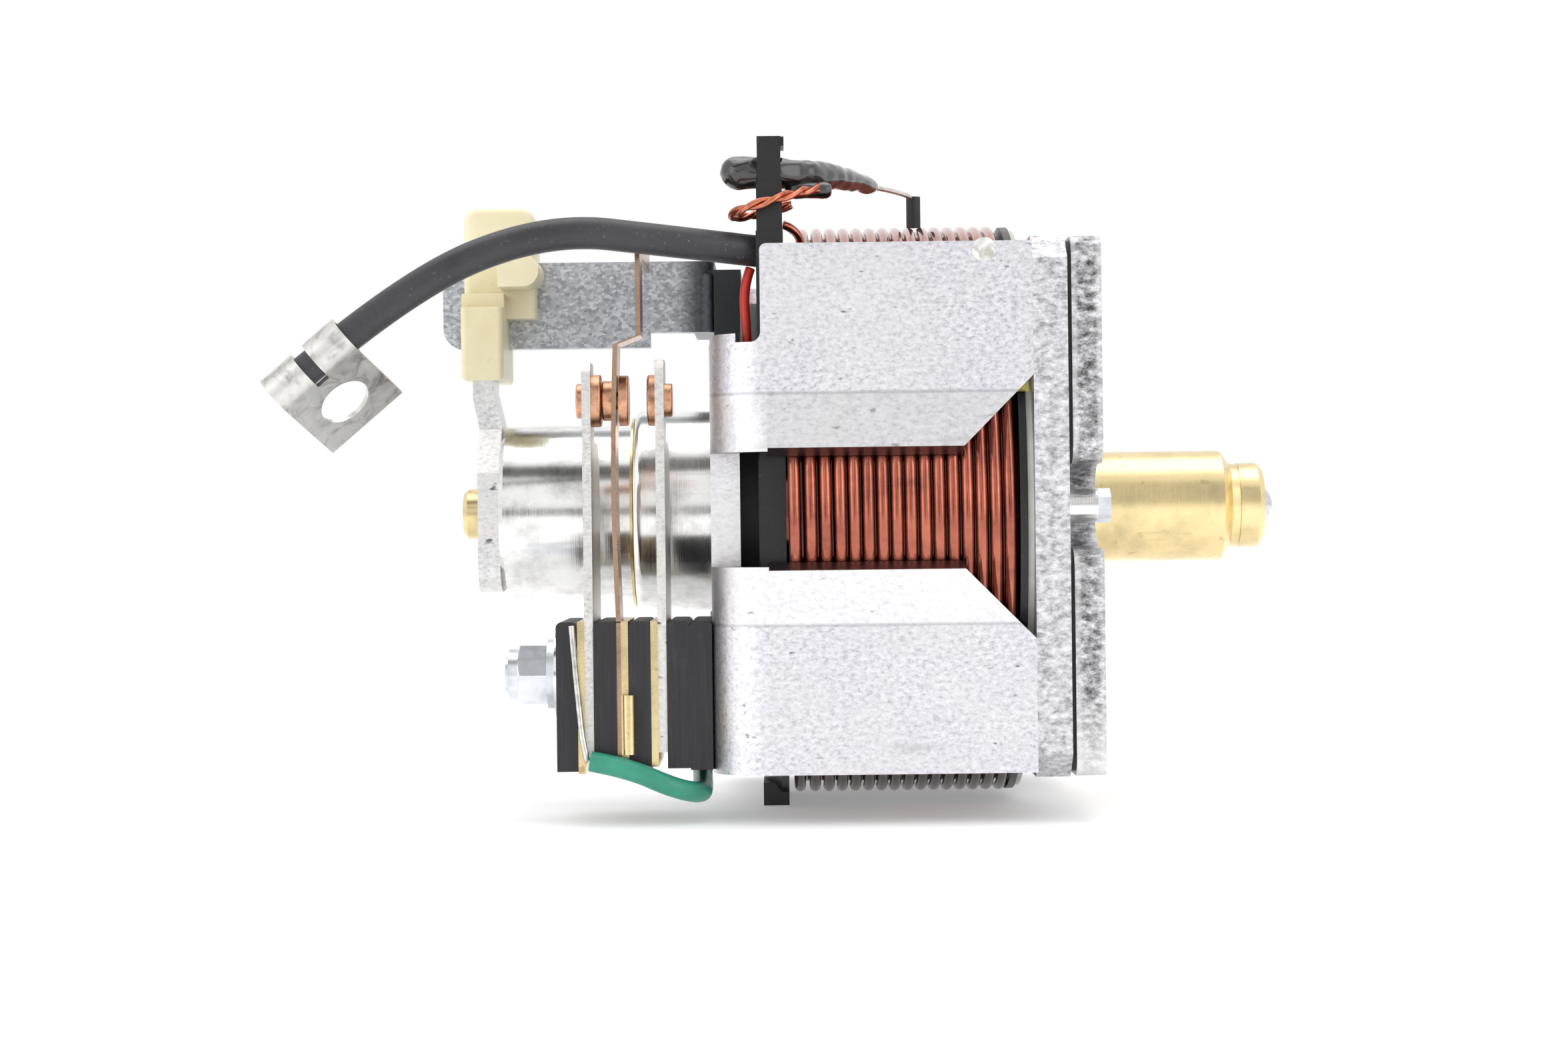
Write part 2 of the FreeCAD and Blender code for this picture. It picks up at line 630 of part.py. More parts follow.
def guide_bar():
    y0, y1 = BAR_Y
    z0, z1 = BAR_Z
    bar = box(X_BAR_END, BAR_STEP_X, y0, y1, z0, z1)
    bar = bar.fuse(box(BAR_STEP_X - 1, X_BASE_OUT, y0, y1, z0 + BAR_STEP, z1))
    foot = box(X_BASE_OUT - 4.0, X_BASE_OUT, y0, FOOT_END_Y, z0 + BAR_STEP, z1)
    bar = bar.fuse(foot).removeSplitter()
    bar = fillet(bar, 3.0, lambda c, t: abs(t.z) > 0.9 and abs(c.x - X_BASE_OUT) < 0.1 and abs(c.y - y0) < 0.1)
    bar = fillet(bar, 4.0, lambda c, t: abs(t.y) > 0.9 and abs(c.x - X_BAR_END) < 0.1)
    for y, z in RIVETS:
        bar = bar.cut(rod(RIVET_R, X_BASE_OUT - 5, X_BASE_OUT + 1, y, z))
    return bar


def guide_bar_rivets():
    rivets = []
    for y, z in RIVETS:
        x_head = X_BASE_OUT - 4.0
        head = Part.makeSphere(3.6, V(x_head + 1.6, y, z)).common(box(x_head - 4, x_head, y - 5, y + 5, z - 5, z + 5))
        rivets.append(head.fuse(rod(RIVET_R, x_head, X_BASE_IN, y, z)))
    return rivets


def nylon_slider():
    """Cream block that rides on the guide bar and pushes the contact leaf with its finger."""
    y0, y1 = SLIDER_Y
    x0, x1 = SLIDER_X
    h0, h1 = SLIDER_HEAD_X
    z0, z1 = SLIDER_Z
    lower = box(x0, x1, y0, y1, z0, 37.7)
    lower = fillet(lower, 1.0, lambda c, t: abs(t.z) > 0.9 or (abs(t.y) > 0.9 and c.z < z0 + 0.1))
    step = box(x0, x1, y0 + 2.6, y1, 37.6, 40.3)
    head = box(h0, h1, y0 + 8.0, y1, 36.0, z1)
    head = fillet(head, 2.6, lambda c, t: abs(t.y) > 0.9 and c.z > z1 - 0.1)
    head = fillet(head, 1.2, lambda c, t: abs(t.z) > 0.9)
    fy0, fy1 = FINGER_Y
    fz0, fz1 = FINGER_Z
    finger = box(h1 - 6.0, FINGER_TIP_X, fy0, fy1 + 4.0, fz0, fz1)
    finger = fillet(finger, 2.8, lambda c, t: abs(t.y) > 0.9 and c.x > FINGER_TIP_X - 0.1)
    body = lower.fuse([step, head, finger]).removeSplitter()
    passage = box(h0 - 5, h1 + 20, BAR_Y[0] - SLIDE_GAP, BAR_Y[1] + SLIDE_GAP,
                  BAR_Z[0] - SLIDE_GAP, BAR_Z[1] + SLIDE_GAP)
    return body.cut([passage, actuator_plate()])


# ---------------------------------------------------------------- contact stack

def stack_places():
    """Rear and front X of each stack piece, counted outwards from the base wall."""
    places = {}
    x = X_BASE_OUT
    for name, thick, bottom in STACK:
        places[name] = (x - thick, x, bottom)
        x -= thick
    return places


def bush_hole(x0, x1):
    return rod(BUSH_R, x0 - 1, x1 + 1, BOLT_Y, BOLT_Z)


def insulator(x0, x1, bottom):
    block = box(x0, x1, STACK_Y[0], STACK_Y[1], bottom, STACK_TOP)
    block = fillet(block, 1.0, lambda c, t: abs(t.y) > 0.9 and c.z > STACK_TOP - 0.1)
    return block.cut(bush_hole(x0, x1))


def terminal_sheet(x0, x1, bottom):
    sheet = box(x0, x1, STACK_Y[0] + 0.2, STACK_Y[1] - 0.5, bottom, STACK_TOP)
    return sheet.cut(bush_hole(x0, x1))


def folded_terminal(x0, x1, bottom):
    """Middle brass terminal, with its tag folded round on itself at the near edge."""
    sheet = terminal_sheet(x0, x1, bottom)
    edge = STACK_Y[0]
    tag = box(x0 + 0.3, x0 + 2.2, edge - 1.9, edge - 0.02, -41.0, -31.0)
    tag = fillet(tag, 0.8, lambda c, t: abs(t.z) > 0.9 and c.y < edge - 1)
    neck = box(x0, x1, edge - 1.0, edge + 0.3, -41.0, -31.0)
    return sheet.fuse([tag, neck]).removeSplitter()


def blade(x0, x1, bottom, top):
    """Fixed steel blade: wide in the clamp, narrow where it carries its contact."""
    w0, w1 = BLADE_WIDE_Y
    n0, n1 = BLADE_NARROW_Y
    z = BLADE_SHOULDER_Z
    outline = [
        (x0, w0, bottom), (x0, w1, bottom), (x0, w1, z - 4), (x0, w1 - 4, z), (x0, n1, z),
        (x0, n1, top - 1.5), (x0, n1 - 1.5, top), (x0, n0 + 1.5, top), (x0, n0, top - 1.5),
    ]
    sheet = prism(outline, V(x1 - x0, 0, 0))
    return sheet.cut([bush_hole(x0, x1), rod(2.0, x0 - 1, x1 + 1, CONTACT_Y, CONTACT_Z)])


def button(r, x0, x1, dome=0.35):
    """Round contact button along X, standing on x0, with its free rim at x1 rounded."""
    disc = rod(r, min(x0, x1), max(x0, x1), CONTACT_Y, CONTACT_Z)
    rim = [e for e in disc.Edges if e.Curve.TypeId == "Part::GeomCircle"
           and abs(e.Curve.Center.x - x1) < 0.01]
    return disc.makeFillet(dome, rim)


def moving_leaf(x0, x1):
    """Springy leaf: straight past the contacts, jogged towards the base wall, with a cross tab."""
    y0, y1 = BLADE_NARROW_Y
    z0 = STACK_TOP + 0.3
    z = LEAF_JOG_Z
    jog = LEAF_JOG_X
    strip = prism([
        (x0, y0, z0), (x1, y0, z0), (x1, y0, z - 0.4), (x1 + jog, y0, z + 0.8), (x1 + jog, y0, LEAF_TOP),
        (x0 + jog, y0, LEAF_TOP), (x0 + jog, y0, z + 1.3), (x0, y0, z + 0.1),
    ], V(0, y1 - y0, 0))
    tab = box(x0 + jog, x1 + jog, y1 - 1, LEAF_TAB_END_Y, LEAF_TOP - 4.5, LEAF_TOP)
    leaf = strip.fuse(tab).removeSplitter()
    return leaf.cut(rod(1.5, x0 - 1, x1 + 1, CONTACT_Y, CONTACT_Z))


def contact_stack():
    at = stack_places()
    for name in ("insulator_a", "insulator_b", "insulator_c", "insulator_d", "insulator_e"):
        save(name, insulator(*at[name]))
    save("brass_terminal_1", terminal_sheet(*at["brass_terminal_1"]))
    save("brass_terminal_2", folded_terminal(*at["brass_terminal_2"]))
    save("brass_terminal_3", terminal_sheet(*at["brass_terminal_3"]))
    x0, x1, bottom = at["leaf_tail"]
    tail = box(x0, x1, BLADE_WIDE_Y[0], BLADE_WIDE_Y[1], bottom, STACK_TOP)
    save("leaf_tail", tail.cut(bush_hole(x0, x1)))
    save("moving_leaf", moving_leaf(x0, x1))
    rivet = button(3.4, x0, x0 - 2.1).fuse([button(4.3, x1, x1 + 1.6), rod(1.5, x0, x1, CONTACT_Y, CONTACT_Z)])
    save("moving_contacts", rivet)

    x0, x1, bottom = at["blade_left"]
    save("blade_left", blade(x0, x1, bottom, 25.3))
    save("contact_left", button(2.95, x0, x0 - 1.15).fuse(
        [button(4.45, x1, x1 + 1.65), rod(2.0, x0, x1, CONTACT_Y, CONTACT_Z)]))
    x0, x1, bottom = at["blade_right"]
    save("blade_right", blade(x0, x1, bottom, 25.7))
    save("contact_right", button(4.35, x0, x0 - 1.4).fuse(
        [button(2.85, x1, x1 + 1.35), rod(2.0, x0, x1, CONTACT_Y, CONTACT_Z)]))

    x_end = at["insulator_a"][0]
    save("insulating_bush", tube(BUSH_R, BOLT_R + 0.05, x_end, X_BASE_OUT, BOLT_Y, BOLT_Z))
    washer = tube(7.45, BOLT_R + 0.1, x_end - 0.8, x_end, BOLT_Y, BOLT_Z)
    save("flat_washer", washer)
    x = x_end - 0.8
    save("lock_washer", tube(6.0, BOLT_R + 0.1, x - 1.4, x, BOLT_Y, BOLT_Z))
    x -= 1.4
    nut = hexagon(10.0, x - NUT_HEX_T, x, BOLT_Y, BOLT_Z)
    nut = nut.common(Part.makeCone(4.9, 4.9 + NUT_HEX_T * 2, NUT_HEX_T, V(x - NUT_HEX_T, BOLT_Y, BOLT_Z), ALONG_X))
    nut = nut.fuse(rod(4.4, x - NUT_T, x - NUT_HEX_T, BOLT_Y, BOLT_Z))
    save("lock_nut", nut.cut(rod(BOLT_R, x - NUT_T - 1, x + 1, BOLT_Y, BOLT_Z)))
    bolt = rod(BOLT_R, x - NUT_T - 0.6, X_BASE_IN + 0.1, BOLT_Y, BOLT_Z)
    save("clamp_bolt", bolt.fuse(rod(4.8, X_BASE_IN, X_BASE_IN + 2.6, BOLT_Y, BOLT_Z)))


# ---------------------------------------------------------------- wires

def terminal_axes():
    """Along the cable's last run, across the plate, and out of the plate's face."""
    end = V(*CABLE_ROUTE[-1])
    along = (end - V(*CABLE_ROUTE[-2])).normalize()
    down_right = V(-along.z, 0, along.x)
    across = down_right * math.cos(TERMINAL_TILT) + ALONG_Y * math.sin(TERMINAL_TILT)
    return end, along, across, along.cross(across)


def ring_terminal():
    """Flag terminal: a flat plate with a stud hole, its two wings closed round the cable's end."""
    end, along, across, normal = terminal_axes()
    corner = end - along * (TERMINAL_L - 0.5) + normal * CABLE_R
    outline = [corner, corner + along * TERMINAL_L, corner + along * TERMINAL_L + across * TERMINAL_REACH,
               corner + across * TERMINAL_REACH]
    plate = prism([tuple(p) for p in outline], normal * TERMINAL_T)
    relief = [corner - across * 2 + along * WING_L, corner - across * 2 + along * (TERMINAL_L - WING_L),
              corner + across * 1.2 + along * (TERMINAL_L - WING_L), corner + across * 1.2 + along * WING_L]
    plate = plate.cut(prism([tuple(p - normal) for p in relief], normal * 3))
    hole_at = corner + along * (TERMINAL_L / 2) + across * TERMINAL_HOLE_AT
    plate = plate.cut(Part.makeCylinder(TERMINAL_HOLE_R, 6, hole_at - normal * 3, normal))
    wings = []
    for start in (0.0, TERMINAL_L - WING_L):
        at = end - along * (TERMINAL_L - 0.5 - start)
        wings.append(Part.makeCylinder(CABLE_R + TERMINAL_T, WING_L, at, along))
    body = plate.fuse(wings)
    body = body.cut(Part.makeCylinder(CABLE_R, TERMINAL_L + 6, end - along * (TERMINAL_L + 2), along))
    return body.removeSplitter()


def joint_blob():
    """Lacquered splice on the post: thick over the post, thinning towards the coil."""
    thick = rod(2.8, -65.8, -49.6, -43.0, 57.2)
    a = V(-50.6, -43.0, 57.2)
    b = V(-36.4, -20.5, 56.9)
    return thick.fuse(Part.makeCone(2.5, 1.0, (b - a).Length, a, b - a))


def wires():
    cable = wire_tube(CABLE_ROUTE, CABLE_R)
    save("cable", cable)
    save("ring_terminal", ring_terminal())
    spool = bobbin().cut(cable)
    save("bobbin", spool)
    save("joint_blob", joint_blob())
    save("green_wire", wire_tube(GREEN_ROUTE, GREEN_R))
    start = V(*GREEN_ROUTE[0])
    back = (start - V(*GREEN_ROUTE[1])).normalize()
    save("green_conductor", wire_tube([tuple(start + back * 0.6), (-87.8, -48.1, -38.0), (-88.8, -47.4, -28.0),
                                       (-89.5, -47.1, -19.2)], 0.5))
    lug = box(X_BASE_OUT - 0.8, X_BASE_OUT, -21.0, -13.0, -27.8, -17.8)
    lug = lug.fuse(tube(2.5, GREEN_R * 0.5, X_BASE_OUT - 3.4, X_BASE_OUT - 0.7, -17.0, -25.3))
    save("solder_lug", lug.removeSplitter())
    save("red_lead", wire_tube([(-58.6, -43.4, 41.0), (-59.9, -44.0, 37.6), (-59.3, -44.3, 30.0),
                                (-59.2, -43.2, 22.0)], 0.85))
    save("coil_lead", wire_tube([(-53.0, -37.2, 49.0), (-50.9, -36.6, 48.3), (-49.6, -35.4, 45.4),
                                 (-49.4, -34.8, 40.2)], 0.75))
    save("lead_wrap", wire_tube([(-45.6, -40.6, 55.0), (-51.0, -49.8, 53.2), (-60.2, -50.4, 50.3),
                                 (-62.2, -42.4, 49.8), (-57.0, -35.6, 50.9), (-51.5, -35.4, 52.6)], 0.9))
    save("tinned_lead", wire_tube([(-36.0, -19.9, 56.9), (-31.5, -9.5, 57.2), (-29.7, -3.0, 57.0)], 0.45))
    save("lead_sleeve", Part.makeCylinder(1.3, 5.6, V(-29.0, -1.0, COIL_R + 0.1), ALONG_Z))


def lacquer_drop():
    """Dried drop of locking lacquer on the near leg's top corner."""
    ball = Part.makeSphere(4.2, V(-19.5, -YOKE_HALF_W + 3.7, 43.0))
    return ball.common(box(-26, -12, -YOKE_HALF_W - 2, -YOKE_HALF_W, 38.0, 46.0))


def main():
    os.makedirs("parts", exist_ok=True)
    save("yoke_frame", yoke())
    save("pole_plate", pole_plate())
    save("gasket", gasket())
    save("mounting_flange", mounting_flange())
    save("flange_screws", *flange_screws())
    save("slot_screws", *slot_screws())
    save("slot_spacers", *slot_spacers())
    save("cushion_ring", tube(CUSHION_R, COLLAR_R + 0.3, X_BASE_IN, X_FLANGE_REAR))
    end_washer = tube(FRONT_FLANGE_R - 0.6, PLUNGER_R + 0.3, X_WASHER, X_POLE_REAR)
    for side in (-1, 1):
        end_washer = end_washer.cut(rod(1.7, X_WASHER - 1, X_POLE_REAR + 1, side * SLOT_SCREW_Y))
    save("end_washer", end_washer)
    save("pull_in_winding", pull_in_winding())
    save("hold_winding", tube(HOLD_R, BOBBIN_TUBE_R, X_COIL_0, X_COIL_1))
    save("insulating_tape", insulating_tape())
    save("guide_tube", guide_tube())
    save("collar", collar())
    save("pole_core", pole_core())
    save("return_spring", return_spring())
    save("plunger_core", plunger_core())
    save("push_rod", push_rod())
    save("nose_ball", nose_ball())
    save("actuator_plate", actuator_plate())
    save("nylon_slider", nylon_slider())
    save("guide_bar", guide_bar())
    save("guide_bar_rivets", *guide_bar_rivets())
    contact_stack()
    wires()
    save("lacquer_drop", lacquer_drop())


main()
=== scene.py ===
import json
import math

import bpy
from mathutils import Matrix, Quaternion, Vector, noise


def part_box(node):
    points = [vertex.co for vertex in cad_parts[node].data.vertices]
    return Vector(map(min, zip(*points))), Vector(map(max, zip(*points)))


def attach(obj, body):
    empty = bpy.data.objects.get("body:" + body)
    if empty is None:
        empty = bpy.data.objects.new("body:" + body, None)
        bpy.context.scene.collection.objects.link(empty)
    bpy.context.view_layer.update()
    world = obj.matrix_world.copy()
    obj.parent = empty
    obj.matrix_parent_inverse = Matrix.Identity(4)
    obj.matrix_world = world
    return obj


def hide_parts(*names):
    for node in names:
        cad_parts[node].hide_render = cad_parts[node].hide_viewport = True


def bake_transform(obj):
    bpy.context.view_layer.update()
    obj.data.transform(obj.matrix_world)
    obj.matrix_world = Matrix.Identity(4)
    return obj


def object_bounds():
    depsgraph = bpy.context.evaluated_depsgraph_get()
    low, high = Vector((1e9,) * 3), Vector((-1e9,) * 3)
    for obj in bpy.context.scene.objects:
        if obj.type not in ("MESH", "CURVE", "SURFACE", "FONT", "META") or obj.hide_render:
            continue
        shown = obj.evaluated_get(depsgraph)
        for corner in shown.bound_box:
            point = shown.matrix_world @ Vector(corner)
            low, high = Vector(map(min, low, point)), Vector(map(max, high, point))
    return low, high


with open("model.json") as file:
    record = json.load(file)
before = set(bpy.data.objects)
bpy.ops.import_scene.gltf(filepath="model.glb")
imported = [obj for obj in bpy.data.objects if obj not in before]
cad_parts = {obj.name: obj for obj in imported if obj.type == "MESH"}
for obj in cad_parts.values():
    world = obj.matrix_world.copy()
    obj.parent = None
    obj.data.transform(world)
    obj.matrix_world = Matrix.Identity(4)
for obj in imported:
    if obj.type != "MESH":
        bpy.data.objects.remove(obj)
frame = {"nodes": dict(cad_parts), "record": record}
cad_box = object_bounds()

MM = 0.001
NODES = frame["nodes"]


# ---------------------------------------------------------------- material builder

class Surface:
    """One procedural material, built node by node on a Principled shader."""

    def __init__(self, name, colour, metallic=0.0, roughness=0.5, **sockets):
        self.mat = bpy.data.materials.new(name)
        self.mat.use_nodes = True
        self.tree = self.mat.node_tree
        self.bsdf = self.tree.nodes["Principled BSDF"]
        self.bsdf.inputs["Base Color"].default_value = (*colour, 1.0)
        self.bsdf.inputs["Metallic"].default_value = metallic
        self.bsdf.inputs["Roughness"].default_value = roughness
        for socket, value in sockets.items():
            self.bsdf.inputs[socket.replace("_", " ")].default_value = value
        self.normal = None
        self.place = self.add("ShaderNodeTexCoord")

    def add(self, kind, **settings):
        node = self.tree.nodes.new(kind)
        for key, value in settings.items():
            setattr(node, key, value)
        return node

    def feed(self, socket, value):
        """Link a socket, or set a plain number or colour on it."""
        if isinstance(value, bpy.types.NodeSocket):
            self.tree.links.new(value, socket)
        else:
            socket.default_value = value

    def coords(self, stretch=(1, 1, 1)):
        mapping = self.add("ShaderNodeMapping")
        mapping.inputs["Scale"].default_value = stretch
        self.tree.links.new(self.place.outputs["Object"], mapping.inputs["Vector"])
        return mapping.outputs["Vector"]

    def axis(self, letter, source="Object"):
        """One coordinate of the place or of the surface normal, in the part's own frame."""
        split = self.add("ShaderNodeSeparateXYZ")
        self.tree.links.new(self.place.outputs[source], split.inputs["Vector"])
        return split.outputs[letter]

    def noise(self, scale, detail=4.0, rough=0.6, stretch=(1, 1, 1), distort=0.0):
        node = self.add("ShaderNodeTexNoise")
        node.inputs["Scale"].default_value = scale
        node.inputs["Detail"].default_value = detail
        node.inputs["Roughness"].default_value = rough
        node.inputs["Distortion"].default_value = distort
        self.tree.links.new(self.coords(stretch), node.inputs["Vector"])
        return node.outputs["Fac"]

    def cells(self, scale, stretch=(1, 1, 1), output="Distance"):
        node = self.add("ShaderNodeTexVoronoi")
        node.inputs["Scale"].default_value = scale
        self.tree.links.new(self.coords(stretch), node.inputs["Vector"])
        return node.outputs[output]

    def ramp(self, fac, *stops):
        """Colour ramp; each stop is (place, grey) or (place, (r, g, b))."""
        node = self.add("ShaderNodeValToRGB")
        while len(node.color_ramp.elements) < len(stops):
            node.color_ramp.elements.new(0.5)
        for element, (at, value) in zip(node.color_ramp.elements, stops):
            element.position = at
            element.color = (*value, 1.0) if isinstance(value, tuple) else (value, value, value, 1.0)
        self.tree.links.new(fac, node.inputs["Fac"])
        return node.outputs["Color"]

    def calc(self, operation, a, b=0.0):
        node = self.add("ShaderNodeMath", operation=operation)
        self.feed(node.inputs[0], a)
        self.feed(node.inputs[1], b)
        return node.outputs["Value"]

    def mix(self, fac, a, b):
        """Colour a, turning to colour b as fac goes from 0 to 1."""
        node = self.add("ShaderNodeMix", data_type="RGBA")
        self.feed(node.inputs["Factor"], fac)
        self.feed(node.inputs[6], a if isinstance(a, bpy.types.NodeSocket) else (*a, 1.0))
        self.feed(node.inputs[7], b if isinstance(b, bpy.types.NodeSocket) else (*b, 1.0))
        return node.outputs[2]

    def colour(self, value):
        self.feed(self.bsdf.inputs["Base Color"], value)

    def rough(self, fac, low, high):
        node = self.add("ShaderNodeMapRange")
        node.inputs["To Min"].default_value = low
        node.inputs["To Max"].default_value = high
        self.tree.links.new(fac, node.inputs["Value"])
        self.tree.links.new(node.outputs["Result"], self.bsdf.inputs["Roughness"])

    def bump(self, height, depth, strength=1.0):
        """Add surface relief; depth is in metres, and each call stacks on the last."""
        node = self.add("ShaderNodeBump")
        node.inputs["Distance"].default_value = depth
        node.inputs["Strength"].default_value = strength
        self.tree.links.new(height, node.inputs["Height"])
        if self.normal is not None:
            self.tree.links.new(self.normal, node.inputs["Normal"])
        self.normal = node.outputs["Normal"]
        self.tree.links.new(self.normal, self.bsdf.inputs["Normal"])


def shade(colour, factor):
    """The same hue, darker or lighter."""
    return tuple(min(1.0, factor * v) for v in colour)


# ---------------------------------------------------------------- metals

FLANGE_LOW, FLANGE_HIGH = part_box("mounting_flange")
FLANGE_MID_X = 0.5 * (FLANGE_LOW.x + FLANGE_HIGH.x)
FOLD_Z = 0.0194              # crease where the yoke's flaps start
WINDOW_Z = 0.0190            # half height of the yoke's windows, a little more
COIL_SHADE_Z = -0.045       # painted shade on the coil below this height


def zinc_sheet(name, tint=(0.86, 0.855, 0.85), dark=(0.46, 0.46, 0.47), rough=(0.26, 0.50),
               edge_axis=None, torn=None, yoke_painted_light=False, lighter_rims_and_foot=False):
    """Matt zinc plate: fine crystalline grain, pits and faint clouds.

    edge_axis gives a plate sheared edges in the three torn colours. For the flange, these edges also get a
    painted highlight on their rims, standing in for rounded corners, and turn lighter towards the foot. For
    the yoke, the flaps get a painted lighter tone and a painted shade line along the fold, and painted shade
    and reflection darken the window's cut edges, the near leg's inner faces and the cut edge of the notch.
    """
    s = Surface(name, tint, metallic=1.0, roughness=0.45)
    grain = s.noise(1500, 6, 0.72, stretch=(0.62, 1, 1))
    clouds = s.noise(70, 5, 0.65, stretch=(0.6, 1, 1))
    between = tuple(0.6 * a + 0.4 * b for a, b in zip(tint, dark))
    base = s.ramp(grain, (0.34, dark), (0.47, between), (0.62, tint))
    base = s.mix(s.ramp(clouds, (0.38, 0.0), (0.66, 0.45)), base, shade(tint, 0.80))
    base = s.mix(s.ramp(s.noise(38, 3, 0.6), (0.45, 0.0), (0.70, 0.35)), base, (0.86, 0.84, 0.80))
    pits = s.ramp(s.noise(620, 2, 0.5, stretch=(0.45, 1, 1)), (0.24, 1.0), (0.31, 0.0))
    base = s.mix(pits, base, (0.16, 0.15, 0.17))
    scuffs = s.noise(260, 3, 0.55, stretch=(0.18, 1, 1), distort=0.3)
    base = s.mix(s.ramp(scuffs, (0.66, 0.0), (0.72, 0.55)), base, shade(tint, 0.55))
    s.bump(grain, 0.00011, 0.7)
    if yoke_painted_light:
        height = s.calc("ABSOLUTE", s.axis("Z"))
        # painted light: a lighter tone on the flaps, standing in for their bend towards the light
        flap_light = s.ramp(s.calc("MULTIPLY", height, 20.0), (0.385, 0.40), (0.390, 0.0))
        base = s.mix(flap_light, base, (0.86, 0.85, 0.82))
        # painted shade: a dark line along the fold crease
        from_fold = s.calc("ABSOLUTE", s.calc("MULTIPLY", s.calc("SUBTRACT", height, FOLD_Z), 400.0))
        base = s.mix(s.ramp(from_fold, (0.05, 0.5), (0.16, 0.0)), base, (0.40, 0.39, 0.42))
        # painted reflection: the window's cut edges go dark maroon, as if mirroring the coil
        cut = s.ramp(s.calc("ABSOLUTE", s.axis("Z", "Normal")), (0.45, 0.0), (0.75, 0.92))
        window = s.calc("MULTIPLY", cut, s.calc("LESS_THAN", height, WINDOW_Z))
        base = s.mix(window, base, (0.085, 0.045, 0.05))
        # painted shade: the near leg's inner faces, facing the coil, are darkened
        inner_face_shade = s.ramp(s.axis("Y", "Normal"), (0.30, 0.0), (0.60, 0.90))
        inner_face_shade = s.calc("MULTIPLY", inner_face_shade, s.calc("LESS_THAN", s.axis("Y"), 0.0))
        base = s.mix(inner_face_shade, base, (0.11, 0.075, 0.075))
        # painted shade: the cut edge of the notch at the top of the base wall is darkened
        middle = s.calc("LESS_THAN", s.calc("ABSOLUTE", s.axis("Y")), 0.0010)
        upper = s.calc("MULTIPLY", middle, s.calc("GREATER_THAN", s.axis("Z"), 0.0275))
        notch = s.calc("MULTIPLY", upper, s.calc("LESS_THAN", s.axis("X"), -0.0565))
        base = s.mix(notch, base, (0.06, 0.065, 0.07))
    if edge_axis:
        facing = s.calc("ABSOLUTE", s.axis(edge_axis, "Normal"))
        edge = s.ramp(facing, (0.45, 1.0), (0.65, 0.0))
        tears = s.noise(900, 6, 0.75, stretch=(0.6, 1, 1))
        torn_colour = s.ramp(tears, (0.36, torn[0]), (0.50, torn[1]), (0.64, torn[2]))
        if lighter_rims_and_foot:
            # the torn edges turn lighter towards the foot
            foot = s.ramp(s.calc("MULTIPLY", s.axis("Z"), -20.0), (0.62, 0.0), (0.92, 0.75))
            torn_colour = s.mix(foot, torn_colour, (0.90, 0.90, 0.90))
            # painted highlight: the torn edges are lighter at both rims, standing in for rounded corners
            middle = s.calc("ABSOLUTE", s.calc("SUBTRACT", s.axis("X"), FLANGE_MID_X))
            rim_highlight = s.ramp(s.calc("MULTIPLY", middle, 200.0), (0.27, 0.0), (0.38, 0.32))
            torn_colour = s.mix(rim_highlight, torn_colour, (0.92, 0.92, 0.93))
        base = s.mix(edge, base, torn_colour)
        s.bump(s.calc("MULTIPLY", tears, edge), 0.00022, 0.8)
    s.colour(base)
    s.rough(grain, *rough)
    return s.mat


def turned_steel(name, tint=(0.80, 0.79, 0.78), low=0.16, high=0.34, lines=5200):
    """Bright turned steel: fine lathe rings round X, a few scratches along it and faint stains."""
    s = Surface(name, tint, metallic=1.0, roughness=0.25)
    rings = s.noise(lines, 3, 0.65, stretch=(1, 0.004, 0.004))
    scratch = s.noise(1400, 3, 0.6, stretch=(0.05, 1, 1))
    stain = s.noise(120, 5, 0.65)
    base = s.ramp(stain, (0.30, shade(tint, 0.62)), (0.52, tint), (0.80, shade(tint, 1.12)))
    base = s.mix(s.ramp(scratch, (0.60, 0.0), (0.72, 0.35)), base, shade(tint, 0.55))
    s.colour(base)
    s.rough(s.calc("ADD", s.calc("MULTIPLY", rings, 0.6), s.calc("MULTIPLY", stain, 0.4)), low, high)
    s.bump(rings, 0.00002, 0.6)
    return s.mat


def galvanised(name):
    """Hot-dip galvanised bar: spangle cells, each a little lighter or darker, with painted shade darkening it
    towards the yoke end.
    """
    s = Surface(name, (0.62, 0.65, 0.70), metallic=1.0, roughness=0.4)
    spangle = s.cells(2100, stretch=(0.7, 1, 1), output="Color")
    grey = s.add("ShaderNodeSeparateColor")
    s.tree.links.new(spangle, grey.inputs["Color"])
    grain = s.noise(700, 5, 0.7)
    tone = s.calc("ADD", s.calc("MULTIPLY", grey.outputs["Red"], 0.5), s.calc("MULTIPLY", grain, 0.5))
    base = s.ramp(tone, (0.25, (0.34, 0.35, 0.38)), (0.55, (0.50, 0.52, 0.55)), (0.80, (0.70, 0.71, 0.73)))
    # painted shade: the bar turns dark towards its end by the yoke
    root_shade = s.ramp(s.calc("MULTIPLY", s.calc("ADD", s.axis("X"), 0.0735), 100.0), (0.05, 0.0), (0.42, 0.88))
    s.colour(s.mix(root_shade, base, (0.07, 0.075, 0.08)))
    s.rough(tone, 0.28, 0.50)
    s.bump(grain, 0.00006, 0.5)
    return s.mat


